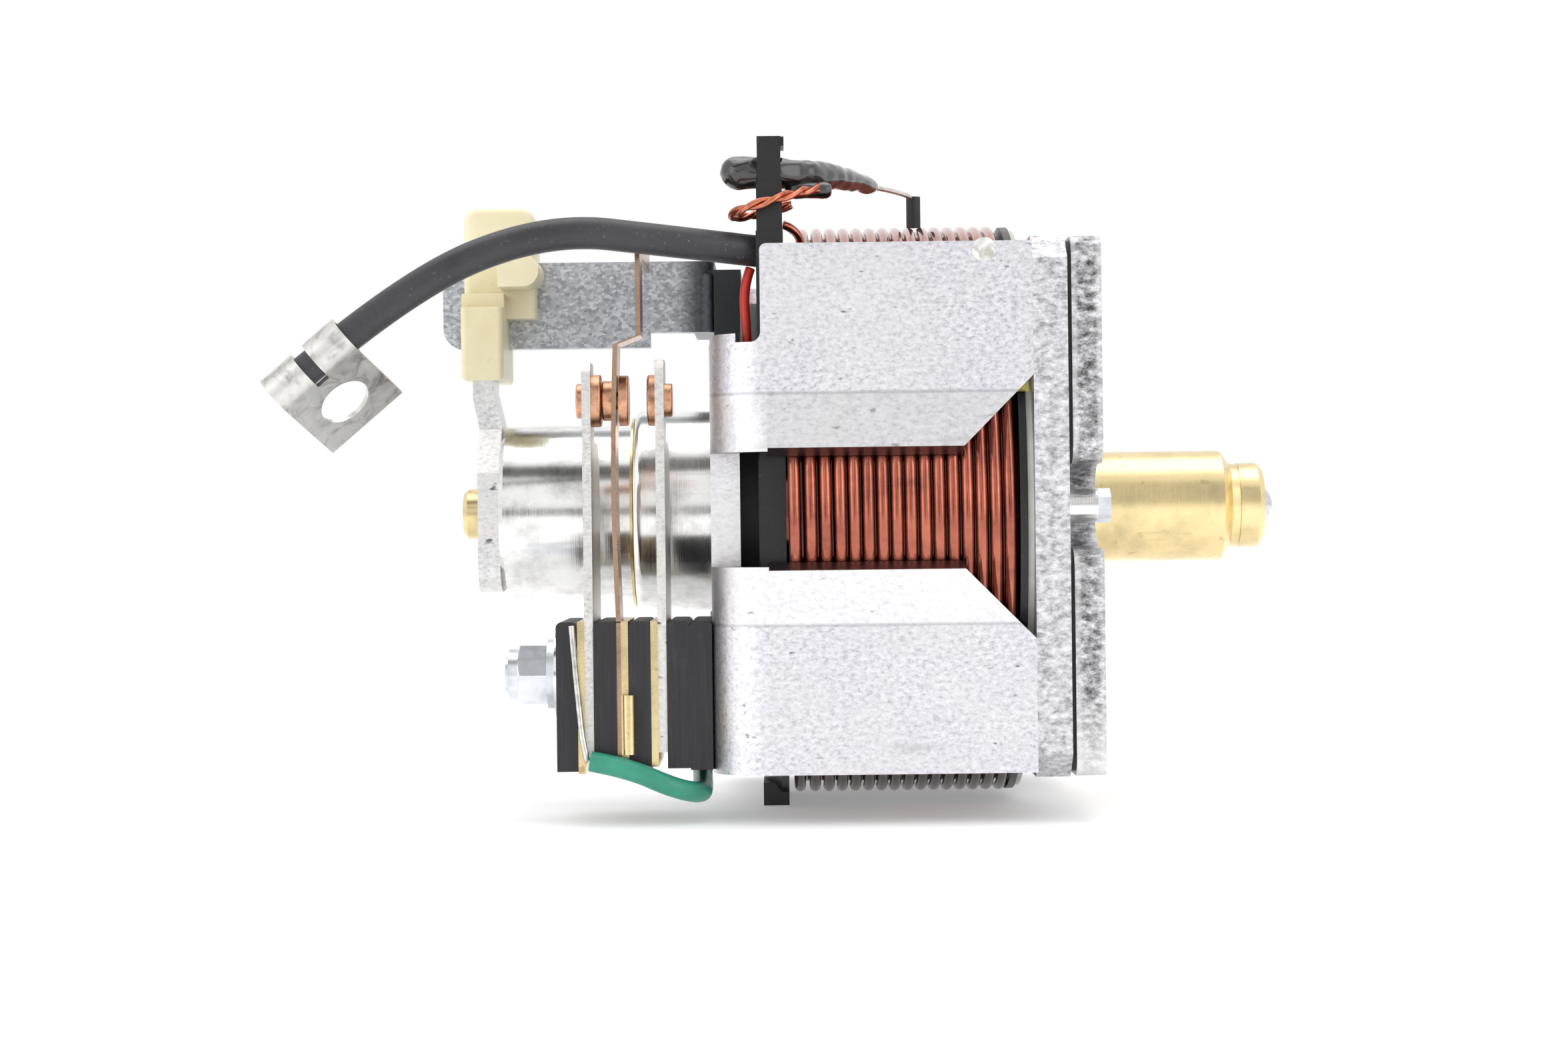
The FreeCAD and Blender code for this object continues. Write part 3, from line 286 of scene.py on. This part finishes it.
def brass(name, tint=(0.90, 0.76, 0.46), ring_lines=True, tarnish=0.45):
    """Brass, turned round X or rolled, with warm tarnish clouds and light scratches."""
    s = Surface(name, tint, metallic=1.0, roughness=0.28)
    stretch = (1, 0.004, 0.004) if ring_lines else (1, 0.05, 1)
    rings = s.noise(4200, 3, 0.65, stretch=stretch)
    clouds = s.noise(90, 5, 0.62)
    scratch = s.noise(1100, 2, 0.5, stretch=(0.10, 1, 1))
    base = s.ramp(clouds, (0.30, shade(tint, 0.70)), (0.52, tint), (0.80, shade(tint, 1.08)))
    spots = s.ramp(s.noise(420, 3, 0.6), (0.63, 0.0), (0.72, tarnish))
    base = s.mix(spots, base, (tint[0] * 0.50, tint[1] * 0.42, tint[2] * 0.34))
    base = s.mix(s.ramp(scratch, (0.62, 0.0), (0.74, 0.25)), base, shade(tint, 0.6))
    s.colour(base)
    s.rough(s.calc("ADD", s.calc("MULTIPLY", rings, 0.5), s.calc("MULTIPLY", clouds, 0.5)), 0.16, 0.36)
    s.bump(rings, 0.00002, 0.6)
    return s.mat


def enamelled_copper(name, deep=(0.22, 0.045, 0.030), warm=(0.56, 0.17, 0.10), metallic=0.9):
    """Copper wire under glossy red-brown enamel, uneven along each turn, with painted shade darkening the
    bottom of the coil.
    """
    s = Surface(name, warm, metallic=metallic, roughness=0.26, Coat_Weight=0.5, Coat_Roughness=0.08)
    clouds = s.noise(160, 5, 0.65)
    fine = s.noise(900, 4, 0.65, stretch=(1, 0.25, 0.25))
    between = tuple(0.5 * (a + b) for a, b in zip(deep, warm))
    base = s.ramp(clouds, (0.28, deep), (0.50, between), (0.78, warm))
    base = s.mix(s.ramp(fine, (0.55, 0.0), (0.75, 0.15)), base, shade(warm, 1.35))
    base = s.mix(s.ramp(s.noise(520, 2, 0.5), (0.72, 0.0), (0.80, 0.35)), base, (0.10, 0.025, 0.02))
    # painted shade: below the shade height the turns go dark, with less metal and coat, standing in for the
    # shadow under the coil
    drop = s.calc("MULTIPLY", s.axis("Z"), -20.0)
    bottom_shade = s.ramp(drop, (-20.0 * COIL_SHADE_Z, 0.0), (0.955, 0.95))
    base = s.mix(bottom_shade, base, (0.020, 0.014, 0.015))
    unshaded = s.calc("SUBTRACT", 1.0, bottom_shade)
    s.feed(s.bsdf.inputs["Metallic"], s.calc("MULTIPLY", unshaded, metallic))
    s.feed(s.bsdf.inputs["Coat Weight"], s.calc("MULTIPLY", unshaded, 0.5))
    s.colour(base)
    s.rough(fine, 0.10, 0.20)
    s.bump(fine, 0.00001, 0.3)
    return s.mat


def bare_copper(name, tint=(0.86, 0.40, 0.24), darkest=0.45):
    """Handled copper, clouded by tarnish."""
    s = Surface(name, tint, metallic=1.0, roughness=0.3)
    clouds = s.noise(500, 5, 0.65)
    s.colour(s.ramp(clouds, (0.30, shade(tint, darkest)), (0.55, tint), (0.80, shade(tint, 1.15))))
    s.rough(clouds, 0.22, 0.48)
    s.bump(clouds, 0.00005, 0.6)
    return s.mat


def tinned(name, tint=(0.76, 0.75, 0.73)):
    """Dull hot tinning: smears, drips and darker stains."""
    s = Surface(name, tint, metallic=1.0, roughness=0.4)
    smear = s.noise(300, 5, 0.65, distort=0.8)
    stain = s.noise(110, 4, 0.6)
    base = s.ramp(smear, (0.28, (0.34, 0.33, 0.32)), (0.48, (0.66, 0.65, 0.63)), (0.74, tint))
    base = s.mix(s.ramp(stain, (0.55, 0.0), (0.80, 0.55)), base, (0.42, 0.38, 0.36))
    s.colour(base)
    s.rough(smear, 0.22, 0.5)
    s.bump(smear, 0.00012, 0.6)
    return s.mat


def polished_ball(name):
    """Hardened ball, nearly a mirror, with faint wear marks."""
    s = Surface(name, (0.70, 0.70, 0.72), metallic=1.0, roughness=0.07)
    marks = s.noise(1500, 3, 0.6)
    s.rough(marks, 0.04, 0.14)
    s.colour(s.ramp(marks, (0.30, (0.52, 0.52, 0.54)), (0.60, (0.72, 0.72, 0.74))))
    return s.mat


# ---------------------------------------------------------------- plastics, rubber and the rest

def moulded(name, colour, low=0.30, high=0.48, grain_depth=0.00004, scale=700, dust=0.0):
    """Moulded or pressed plastic: faint orange-peel, uneven gloss and a little dust."""
    s = Surface(name, colour, roughness=0.4)
    peel = s.noise(scale, 4, 0.6)
    clouds = s.noise(80, 4, 0.6)
    base = s.ramp(clouds, (0.30, shade(colour, 0.72)), (0.70, shade(colour, 1.25)))
    if dust:
        specks = s.ramp(s.noise(1300, 2, 0.5), (0.64, 0.0), (0.74, dust))
        base = s.mix(specks, base, (0.45, 0.44, 0.42))
    s.colour(base)
    s.rough(s.calc("ADD", s.calc("MULTIPLY", peel, 0.5), s.calc("MULTIPLY", clouds, 0.5)), low, high)
    s.bump(peel, grain_depth, 0.5)
    return s.mat


def phenolic(name):
    """Black laminated board: sawn edges show faint layers across X."""
    s = Surface(name, (0.035, 0.035, 0.038), roughness=0.4)
    layers = s.noise(2600, 3, 0.6, stretch=(1, 0.03, 0.03))
    rub = s.noise(240, 5, 0.7, stretch=(1, 1, 0.4))
    base = s.ramp(layers, (0.30, (0.010, 0.010, 0.012)), (0.60, (0.018, 0.018, 0.021)),
                  (0.85, (0.030, 0.030, 0.034)))
    base = s.mix(s.ramp(rub, (0.55, 0.0), (0.85, 0.4)), base, (0.07, 0.07, 0.075))
    s.colour(base)
    s.rough(rub, 0.34, 0.60)
    s.bump(layers, 0.00002, 0.5)
    return s.mat


def nylon(name):
    """Cream nylon, slightly see-through, yellowed in patches."""
    s = Surface(name, (0.92, 0.83, 0.60), roughness=0.36, Subsurface_Weight=0.12, Subsurface_Scale=0.001)
    s.bsdf.inputs["Subsurface Radius"].default_value = (1.0, 0.6, 0.3)
    clouds = s.noise(70, 4, 0.6)
    peel = s.noise(600, 4, 0.6)
    base = s.ramp(clouds, (0.30, (0.74, 0.66, 0.42)), (0.55, (0.80, 0.74, 0.52)),
                  (0.80, (0.86, 0.81, 0.62)))
    grime = s.ramp(s.noise(380, 3, 0.6), (0.66, 0.0), (0.78, 0.35))
    s.colour(s.mix(grime, base, (0.48, 0.40, 0.28)))
    s.rough(peel, 0.26, 0.46)
    s.bump(peel, 0.00005, 0.5)
    return s.mat


def woven_tape(name):
    """Varnished yellow cloth tape with dark speckles."""
    s = Surface(name, (0.88, 0.80, 0.16), roughness=0.45, Coat_Weight=0.4, Coat_Roughness=0.25)
    weave = s.cells(1500)
    base = s.ramp(weave, (0.05, (0.66, 0.55, 0.10)), (0.45, (0.95, 0.88, 0.22)))
    specks = s.ramp(s.noise(900, 3, 0.6), (0.55, 0.0), (0.63, 0.8))
    s.colour(s.mix(specks, base, (0.28, 0.17, 0.06)))
    s.bump(weave, 0.00010, 0.7)
    return s.mat


def lacquer(name, colour, rough=0.18, lumps=0.0002):
    """Thick glossy lacquer with runs and drips."""
    s = Surface(name, colour, roughness=rough, Coat_Weight=1.0, Coat_Roughness=0.05)
    drips = s.noise(420, 4, 0.6, distort=0.6)
    s.colour(s.ramp(drips, (0.35, shade(colour, 0.6)), (0.70, shade(colour, 1.6))))
    s.rough(drips, rough * 0.7, rough * 1.8)
    s.bump(drips, lumps, 0.6)
    return s.mat


MATERIALS = {
    "zinc_steel": zinc_sheet("zinc_steel"),
    "galvanised_steel": galvanised("galvanised_steel"),
    "bright_steel": turned_steel("bright_steel", (0.90, 0.895, 0.88), 0.12, 0.26),
    "screw_steel": turned_steel("screw_steel", (0.78, 0.80, 0.84), 0.30, 0.50, 2600),
    "spring_steel": turned_steel("spring_steel", (0.46, 0.46, 0.48), 0.22, 0.40, 1800),
    "ball_steel": polished_ball("ball_steel"),
    "tinned_steel": tinned("tinned_steel"),
    "tinned_copper": tinned("tinned_copper", (0.80, 0.79, 0.77)),
    "brass": brass("brass", (0.86, 0.70, 0.38)),
    "brass_sheet": brass("brass_sheet", (0.82, 0.66, 0.36), ring_lines=False, tarnish=0.6),
    "leaf_bronze": brass("leaf_bronze", (0.52, 0.34, 0.24), ring_lines=False, tarnish=0.6),
    "contact_copper": bare_copper("contact_copper", (0.74, 0.40, 0.25), 0.42),
    "bare_copper": bare_copper("bare_copper", (0.66, 0.22, 0.13), 0.40),
    "enamel_copper": enamelled_copper("enamel_copper"),
    "black_plastic": moulded("black_plastic", (0.009, 0.009, 0.011), 0.24, 0.42, dust=0.05),
    "phenolic_black": phenolic("phenolic_black"),
    "gasket_black": moulded("gasket_black", (0.020, 0.020, 0.021), 0.55, 0.80, 0.0001),
    "rubber_black": moulded("rubber_black", (0.022, 0.022, 0.024), 0.45, 0.65, 0.00008),
    "fibre_grey": moulded("fibre_grey", (0.62, 0.61, 0.57), 0.45, 0.65, 0.00008),
    "yellow_tape": woven_tape("yellow_tape"),
    "cream_nylon": nylon("cream_nylon"),
    "black_cable": moulded("black_cable", (0.035, 0.035, 0.039), 0.34, 0.55, 0.00005, 500, dust=0.12),
    "green_pvc": moulded("green_pvc", (0.035, 0.28, 0.19), 0.22, 0.40),
    "red_pvc": moulded("red_pvc", (0.60, 0.035, 0.02), 0.22, 0.40),
    "black_lacquer": lacquer("black_lacquer", (0.012, 0.012, 0.013)),
    "clear_lacquer": lacquer("clear_lacquer", (0.70, 0.68, 0.62), lumps=0.0001),
}
plate_zinc = zinc_sheet("plate_zinc", edge_axis="X",
                        torn=((0.30, 0.30, 0.32), (0.60, 0.60, 0.63), (0.86, 0.86, 0.90)))
flange_zinc = zinc_sheet("flange_zinc", edge_axis="X", lighter_rims_and_foot=True,
                         torn=((0.07, 0.07, 0.07), (0.38, 0.38, 0.39), (0.80, 0.80, 0.82)))
yoke_zinc = zinc_sheet("yoke_zinc", (0.90, 0.89, 0.94), (0.44, 0.44, 0.50), rough=(0.26, 0.46), yoke_painted_light=True)
shaded_wire = enamelled_copper("shaded_wire", (0.030, 0.006, 0.005), (0.075, 0.016, 0.012), 0.5)
nut_zinc = turned_steel("nut_zinc", (0.84, 0.87, 0.92), 0.24, 0.38, 2600)
blade_zinc = zinc_sheet("blade_zinc", (0.82, 0.81, 0.79), (0.46, 0.45, 0.44))


def paint(obj, material):
    obj.data.materials.clear()
    obj.data.materials.append(material)


def soften(obj, width, segments=2, clamp=True):
    """Round a hard-edged CAD mesh: flat faces merged, edges bevelled, shading kept flat on the flats."""
    merge = obj.modifiers.new("merge_flats", "DECIMATE")
    merge.decimate_type = "DISSOLVE"
    merge.angle_limit = math.radians(1.0)
    bevel = obj.modifiers.new("edge_round", "BEVEL")
    bevel.width = width
    bevel.segments = segments
    bevel.limit_method = "ANGLE"
    bevel.angle_limit = math.radians(35)
    bevel.harden_normals = False
    bevel.use_clamp_overlap = clamp
    even = obj.modifiers.new("even_shading", "WEIGHTED_NORMAL")
    even.keep_sharp = True


def dress_cad():
    """Every CAD node gets its slot's material; a few get a variant that suits their own surface."""
    for part in frame["record"]["subparts"]:
        paint(NODES[part["node"]], MATERIALS[part["material_slot"]])
    paint(NODES["pole_plate"], plate_zinc)
    paint(NODES["mounting_flange"], flange_zinc)
    paint(NODES["yoke_frame"], yoke_zinc)
    paint(NODES["blade_left"], blade_zinc)
    paint(NODES["lock_nut"], nut_zinc)
    paint(NODES["blade_right"], blade_zinc)


EDGE_WIDTHS = {
    "yoke_frame": 0.35, "pole_plate": 0.45, "actuator_plate": 0.5, "guide_bar": 0.7,
    "nylon_slider": 0.35, "bobbin": 0.3, "insulator_a": 0.25, "insulator_b": 0.25, "insulator_c": 0.25,
    "insulator_d": 0.25, "insulator_e": 0.25, "brass_terminal_1": 0.15, "brass_terminal_2": 0.2,
    "brass_terminal_3": 0.15, "blade_left": 0.22, "blade_right": 0.22, "ring_terminal": 0.12,
    "lock_nut": 0.25, "slot_screws": 0.2, "flat_washer": 0.15, "lock_washer": 0.2, "slot_spacers": 0.2,
}


# ---------------------------------------------------------------- shapes made here

def new_mesh(name, verts, faces, material, smooth=True):
    mesh = bpy.data.meshes.new(name)
    mesh.from_pydata([tuple(v) for v in verts], [], faces)
    mesh.update()
    for polygon in mesh.polygons:
        polygon.use_smooth = smooth
    obj = bpy.data.objects.new(name, mesh)
    bpy.context.scene.collection.objects.link(obj)
    obj.data.materials.append(material)
    return obj


def nurbs(name, points, radius, material, resolution=24):
    """Round wire along a smooth NURBS line with these control points, in metres."""
    curve = bpy.data.curves.new(name, "CURVE")
    curve.dimensions = "3D"
    curve.resolution_u = resolution
    curve.bevel_depth = radius
    curve.bevel_resolution = 8
    curve.use_fill_caps = True
    spline = curve.splines.new("NURBS")
    spline.points.add(len(points) - 1)
    for point, place in zip(spline.points, points):
        point.co = (*place, 1.0)
    spline.order_u = 3
    spline.use_endpoint_u = True
    obj = bpy.data.objects.new(name, curve)
    bpy.context.scene.collection.objects.link(obj)
    curve.materials.append(material)
    return obj


def line_of(points, resolution=24):
    """Places along the same NURBS line, as Blender draws it."""
    guide = nurbs("guide", points, 0.0, None, resolution)
    mesh = bpy.data.meshes.new_from_object(guide)
    places = [v.co.copy() for v in mesh.vertices]
    bpy.data.objects.remove(guide)
    return places


def skin(name, path, radius_at, material, sides=20, wobble=0.0, wobble_scale=300.0):
    """Closed tube along a path whose radius changes, with optional lumps."""
    path = [Vector(p) for p in path]
    rings = []
    last = len(path) - 1
    side = (path[1] - path[0]).orthogonal()
    for i, place in enumerate(path):
        heading = (path[min(i + 1, last)] - path[max(i - 1, 0)]).normalized()
        side = (side - heading * side.dot(heading)).normalized()
        top = side.cross(heading)
        radius = radius_at(i / last)
        ring = []
        for k in range(sides):
            a = 2 * math.pi * k / sides
            out = side * math.cos(a) + top * math.sin(a)
            spot = place + out * radius
            lump = noise.noise(spot * wobble_scale) * wobble
            ring.append(spot + out * lump)
        rings.append(ring)
    verts = [v for ring in rings for v in ring]
    faces = []
    for i in range(last):
        for k in range(sides):
            a = i * sides + k
            b = i * sides + (k + 1) % sides
            faces.append((a, b, b + sides, a + sides))
    for ring_start, tip in ((0, path[0]), (last * sides, path[-1])):
        centre = len(verts)
        verts.append(tip)
        for k in range(sides):
            a = ring_start + k
            b = ring_start + (k + 1) % sides
            faces.append((b, a, centre) if ring_start == 0 else (a, b, centre))
    return new_mesh(name, verts, faces, material)


def metres(points):
    """Places given in millimetres, as the frame's metres."""
    return [tuple(v * MM for v in p) for p in points]


# ---------------------------------------------------------------- the coil

TURNS = 15.35
WIRE_R = 1.03 * MM
WIRE_PITCH = 2.45 * MM
LAYER_STEP = 1.9 * MM        # the inner layer nests in the outer one
END_GAP = 0.05 * MM
STEPS = 72                   # places in one turn
SPRING_WIRE_R = 0.8 * MM
SPRING_TURNS = 9


def helix(x0, x1, radius, turns, start_turn=0.4, loosened=0.0):
    """Places along a winding round X, its first turns a little further apart."""
    places = []
    count = int(turns * STEPS)
    for i in range(count + 1):
        t = i / STEPS
        even = i / count
        spread = loosened * (1 - math.exp(-t / 1.3)) * (1 - even)
        a = 2 * math.pi * (t + start_turn)
        waver = 0.05 * MM * noise.noise(Vector((0.9 * t, 1.1 * math.cos(a), 0.9 * math.sin(a))))
        x = x0 + (x1 - x0) * even + spread + waver
        places.append(Vector((x, radius * math.cos(a), radius * math.sin(a))))
    return places


def winding():
    """Two nested layers of heavy wire; only these can be seen between the bobbin's flanges."""
    low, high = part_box("pull_in_winding")
    outer_r = high.z - WIRE_R
    layers = (
        ("outer_turns", outer_r, TURNS, 0.0, 0.7 * MM, MATERIALS["enamel_copper"]),
        ("inner_turns", outer_r - LAYER_STEP, TURNS - 0.6, 0.5, 0.4 * MM, shaded_wire),
    )
    for name, radius, turns, shift, loosened, material in layers:
        x0 = low.x + WIRE_R + shift * WIRE_PITCH + END_GAP
        x1 = high.x - WIRE_R - END_GAP
        path = helix(x0, x1, radius, turns, loosened=loosened)
        wire = skin(name, path, lambda t: WIRE_R, material, sides=14)
        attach(wire, "frame")
        if name == "outer_turns":
            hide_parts("pull_in_winding")


def spring():
    """Return spring: a helix of round wire in place of the CAD spring."""
    low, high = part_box("return_spring")
    path = helix(low.x + SPRING_WIRE_R, high.x - SPRING_WIRE_R, high.z - SPRING_WIRE_R, SPRING_TURNS,
                 start_turn=0.0)
    coil = skin("spring_turns", path, lambda t: SPRING_WIRE_R, MATERIALS["spring_steel"], sides=12)
    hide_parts("return_spring")
    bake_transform(coil)


# ---------------------------------------------------------------- wires and cable

CABLE_ROUTE = metres([
    (-57.0, -43.0, 43.9),
    (-71.4, -49.5, 45.2),
    (-92.4, -55.2, 47.3),
    (-116.0, -59.0, 37.4),
    (-136.7, -59.0, 19.8),
])
CABLE_R = 2.7 * MM
GREEN_ROUTE = metres([
    (-86.4, -48.5, -42.0),
    (-80.0, -48.9, -43.2),
    (-72.5, -49.1, -46.6),
    (-67.9, -44.0, -48.0),
    (-67.9, -34.0, -47.8),
    (-68.4, -17.2, -46.0),
    (-68.3, -17.0, -28.3),
])
GREEN_R = 1.75 * MM
RED_ROUTE = [(-58.6, -43.4, 41.0), (-59.9, -44.0, 37.6), (-59.3, -44.3, 30.0), (-59.2, -43.2, 22.0)]
COIL_LEAD_ROUTE = [(-53.0, -37.2, 49.0), (-50.9, -36.6, 48.3), (-49.6, -35.4, 45.4), (-49.4, -34.8, 40.2)]
TINNED_ROUTE = [(-36.4, -20.5, 56.9), (-31.5, -9.5, 57.2), (-29.7, -3.0, 57.0)]


def spline_length(points):
    places = line_of(points, 48)
    return sum((b - a).length for a, b in zip(places, places[1:]))


def cords():
    cable = nurbs("cable_sheath", CABLE_ROUTE, CABLE_R, MATERIALS["black_cable"], 32)
    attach(cable, "frame")
    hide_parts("cable")
    spline_length(CABLE_ROUTE)
    green = nurbs("green_jumper", GREEN_ROUTE, GREEN_R, MATERIALS["green_pvc"], 24)
    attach(green, "frame")
    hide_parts("green_wire")
    spline_length(GREEN_ROUTE)


def fixed_wire(name, node, points, radius, slot):
    """A short stiff wire between two fixed points, as a smooth tube."""
    path = line_of(metres(points), 16)
    wire = skin(name, path, lambda t: radius, MATERIALS[slot], sides=14)
    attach(wire, "frame")
    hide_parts(node)


def twisted_pair():
    """Two bare copper strands twisted together, looped loosely round the post."""
    route = metres([(-45.6, -40.6, 55.0), (-51.0, -49.8, 53.2), (-60.2, -50.4, 50.3),
                    (-62.2, -42.4, 49.8), (-57.0, -35.6, 50.9), (-51.5, -35.4, 52.6)])
    centre = line_of(route, 20)
    up = Vector((0, 0, 1))
    lay = 9.0 * MM
    strand_r = 0.47 * MM
    strand_off = 0.46 * MM
    for number in (0, 1):
        path = []
        travelled = 0.0
        for i, place in enumerate(centre):
            ahead = centre[min(i + 1, len(centre) - 1)]
            behind = centre[max(i - 1, 0)]
            heading = (ahead - behind).normalized()
            side = heading.cross(up).normalized()
            top = side.cross(heading)
            travelled += (place - behind).length if i else 0.0
            a = 2 * math.pi * travelled / lay + math.pi * number
            path.append(place + (side * math.cos(a) + top * math.sin(a)) * strand_off)
        strand = skin("wrap_strand_%d" % (number + 1), path, lambda t: strand_r, MATERIALS["bare_copper"],
                      sides=12)
        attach(strand, "frame")
        if number == 0:
            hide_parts("lead_wrap")


def splice():
    """Lacquered soldered joint: fat over the post, lumpy, thinning towards the coil."""
    route = metres([(-63.6, -43.0, 57.2), (-59.0, -43.2, 57.4), (-51.5, -43.0, 57.1), (-45.4, -36.5, 57.4),
                    (-40.5, -28.0, 57.4), (-36.4, -20.5, 56.9)])
    path = line_of(route, 14)

    def radius_at(t):
        swell = 2.85 * (1 - t) ** 0.55 + 0.95 * t
        start = math.sqrt(max(0.0, 1 - (1 - min(1.0, t / 0.09)) ** 2))
        stop = math.sqrt(max(0.0, 1 - max(0.0, (t - 0.97) / 0.03) ** 2))
        return max(0.05, swell * start * stop) * MM

    blob = skin("splice_lacquer", path, radius_at, MATERIALS["black_lacquer"], sides=28,
                wobble=0.35 * MM, wobble_scale=420)
    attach(blob, "frame")
    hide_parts("joint_blob")
    tail_path = line_of(metres([(-52.5, -42.6, 54.4), (-48.5, -42.0, 54.3), (-44.6, -40.8, 54.4)]), 12)

    def tail_radius_at(t):
        return (1.5 * math.sqrt(max(0.02, 1 - (2 * t - 1) ** 8))) * MM

    tail = skin("splice_tail", tail_path, tail_radius_at, MATERIALS["black_lacquer"], sides=18,
                wobble=0.2 * MM, wobble_scale=500)
    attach(tail, "frame")


def leaf():
    """The springy middle leaf as one strip from the clamp to its cross tab, with a slight bow and a jog."""
    low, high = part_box("moving_leaf")
    tail_low, tail_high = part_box("leaf_tail")
    thick = tail_high.x - tail_low.x
    x = tail_low.x
    y0, y1 = low.y, tail_low.y + 10 * MM
    jog_x = high.x - thick - x
    jog_z = 28.3 * MM
    outline = []
    steps = 44
    z0 = tail_high.z - 0.2 * MM
    for i in range(steps + 1):
        z = z0 + (high.z - z0) * i / steps
        if z < jog_z:
            share = max(0.0, (z - tail_high.z) / (jog_z - tail_high.z))
            bow = -0.55 * MM * math.sin(math.pi * share)
        else:
            bow = 0.0
        rise = min(1.0, max(0.0, (z - jog_z) / (1.2 * MM)))
        outline.append((x + bow + jog_x * rise, z))
    verts = []
    for px, pz in outline:
        for py in (y0, y1):
            verts += [Vector((px, py, pz)), Vector((px + thick, py, pz))]
    faces = []
    for i in range(steps):
        a = 4 * i
        b = a + 4
        faces += [(a, b, b + 1, a + 1), (a + 2, a + 3, b + 3, b + 2),
                  (a, a + 2, b + 2, b), (a + 1, b + 1, b + 3, a + 3)]
    faces += [(0, 1, 3, 2), (4 * steps, 4 * steps + 2, 4 * steps + 3, 4 * steps + 1)]
    strip = new_mesh("leaf_strip", verts, faces, MATERIALS["leaf_bronze"], smooth=False)
    tab_verts = []
    tab_z = high.z - 4.5 * MM
    for py in (y1 - 0.5 * MM, high.y):
        for px in (x + jog_x, x + jog_x + thick):
            for pz in (tab_z, high.z):
                tab_verts.append(Vector((px, py, pz)))
    tab_faces = [(0, 1, 3, 2), (4, 6, 7, 5), (0, 4, 5, 1), (2, 3, 7, 6), (0, 2, 6, 4), (1, 5, 7, 3)]
    tab = new_mesh("leaf_tab", tab_verts, tab_faces, MATERIALS["leaf_bronze"], smooth=False)
    soften(tab, 0.12 * MM)
    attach(tab, "contact_leaf")
    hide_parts("moving_leaf")
    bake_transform(strip)


# ---------------------------------------------------------------- camera, light and floor

def studio():
    scene = bpy.context.scene
    camera = bpy.data.objects.new("camera", bpy.data.cameras.new("camera"))
    scene.collection.objects.link(camera)
    camera.data.sensor_width = 36.0
    camera.data.lens = 71.6
    camera.location = (-53.4 * MM, -573 * MM, -2.2 * MM)
    camera.rotation_mode = "QUATERNION"
    look = Vector((0, 1, 0)).to_track_quat("-Z", "Z")
    camera.rotation_quaternion = look @ Quaternion((0, 0, 1), math.radians(-0.7))
    scene.camera = camera

    floor_z = cad_box[0][2] - 0.0002
    size = 3.0
    paper = Surface("floor", (0.80, 0.80, 0.80), roughness=0.9,
                    Emission_Color=(1, 1, 1, 1), Emission_Strength=0.28)
    corners = [(-size, -size, floor_z), (size, -size, floor_z), (size, size, floor_z), (-size, size, floor_z)]
    floor = new_mesh("floor", corners, [(0, 1, 2, 3)], paper.mat, smooth=False)

    def lamp(name, place, size_m, power):
        light = bpy.data.lights.new(name, "AREA")
        light.shape = "RECTANGLE"
        light.size = size_m[0]
        light.size_y = size_m[1]
        light.energy = power
        obj = bpy.data.objects.new(name, light)
        scene.collection.objects.link(obj)
        obj.location = place
        obj.rotation_mode = "QUATERNION"
        obj.rotation_quaternion = (Vector((-0.05, 0, 0)) - Vector(place)).to_track_quat("-Z", "Y")

    lamp("top_softbox", (-0.05, 0.10, 0.80), (0.9, 0.6), 2.6)
    lamp("left_softbox", (-0.75, -0.55, 0.30), (0.5, 0.8), 1.2)
    lamp("right_softbox", (0.70, -0.60, 0.35), (0.5, 0.8), 1.6)

    def card(name, place, half_x, half_z, grey, tilt):
        """A grey card, seen only in mirrored light: metal needs something darker than white."""
        cos_t, sin_t = math.cos(tilt), math.sin(tilt)
        corners = [Vector(place) + Vector((a * half_x, -b * half_z * sin_t, b * half_z * cos_t))
                   for a, b in ((-1, -1), (1, -1), (1, 1), (-1, 1))]
        paint_on = Surface(name, (grey, grey, grey), roughness=0.8)
        board = new_mesh(name, corners, [(0, 1, 2, 3)], paint_on.mat, smooth=False)
        board.visible_camera = False
        board.visible_shadow = False
        board.visible_diffuse = False

    card("upper_card", (-0.33, -0.42, 0.62), 0.31, 0.11, 0.03, math.radians(-55))
    card("camera_card", (-0.1325, -0.80, 0.012), 0.0775, 0.075, 0.02, 0.0)
    card("nose_card", (0.13, -0.61, 0.33), 0.07, 0.30, 0.22, math.radians(-30))

    world = bpy.data.worlds.new("white_room")
    scene.world = world
    world.use_nodes = True
    world.node_tree.nodes["Background"].inputs["Color"].default_value = (1, 1, 1, 1)
    world.node_tree.nodes["Background"].inputs["Strength"].default_value = 1.0
    scene.view_settings.view_transform = "Standard"


def main():
    dress_cad()
    winding()
    spring()
    cords()
    twisted_pair()
    splice()
    leaf()
    fixed_wire("red_wire", "red_lead", RED_ROUTE, 0.85 * MM, "red_pvc")
    fixed_wire("coil_lead_wire", "coil_lead", COIL_LEAD_ROUTE, 0.75 * MM, "enamel_copper")
    fixed_wire("tinned_wire", "tinned_lead", TINNED_ROUTE, 0.45 * MM, "tinned_copper")
    for name, width in EDGE_WIDTHS.items():
        soften(NODES[name], width * MM)
    soften(NODES["mounting_flange"], 1.2 * MM, 3, clamp=False)
    studio()


main()
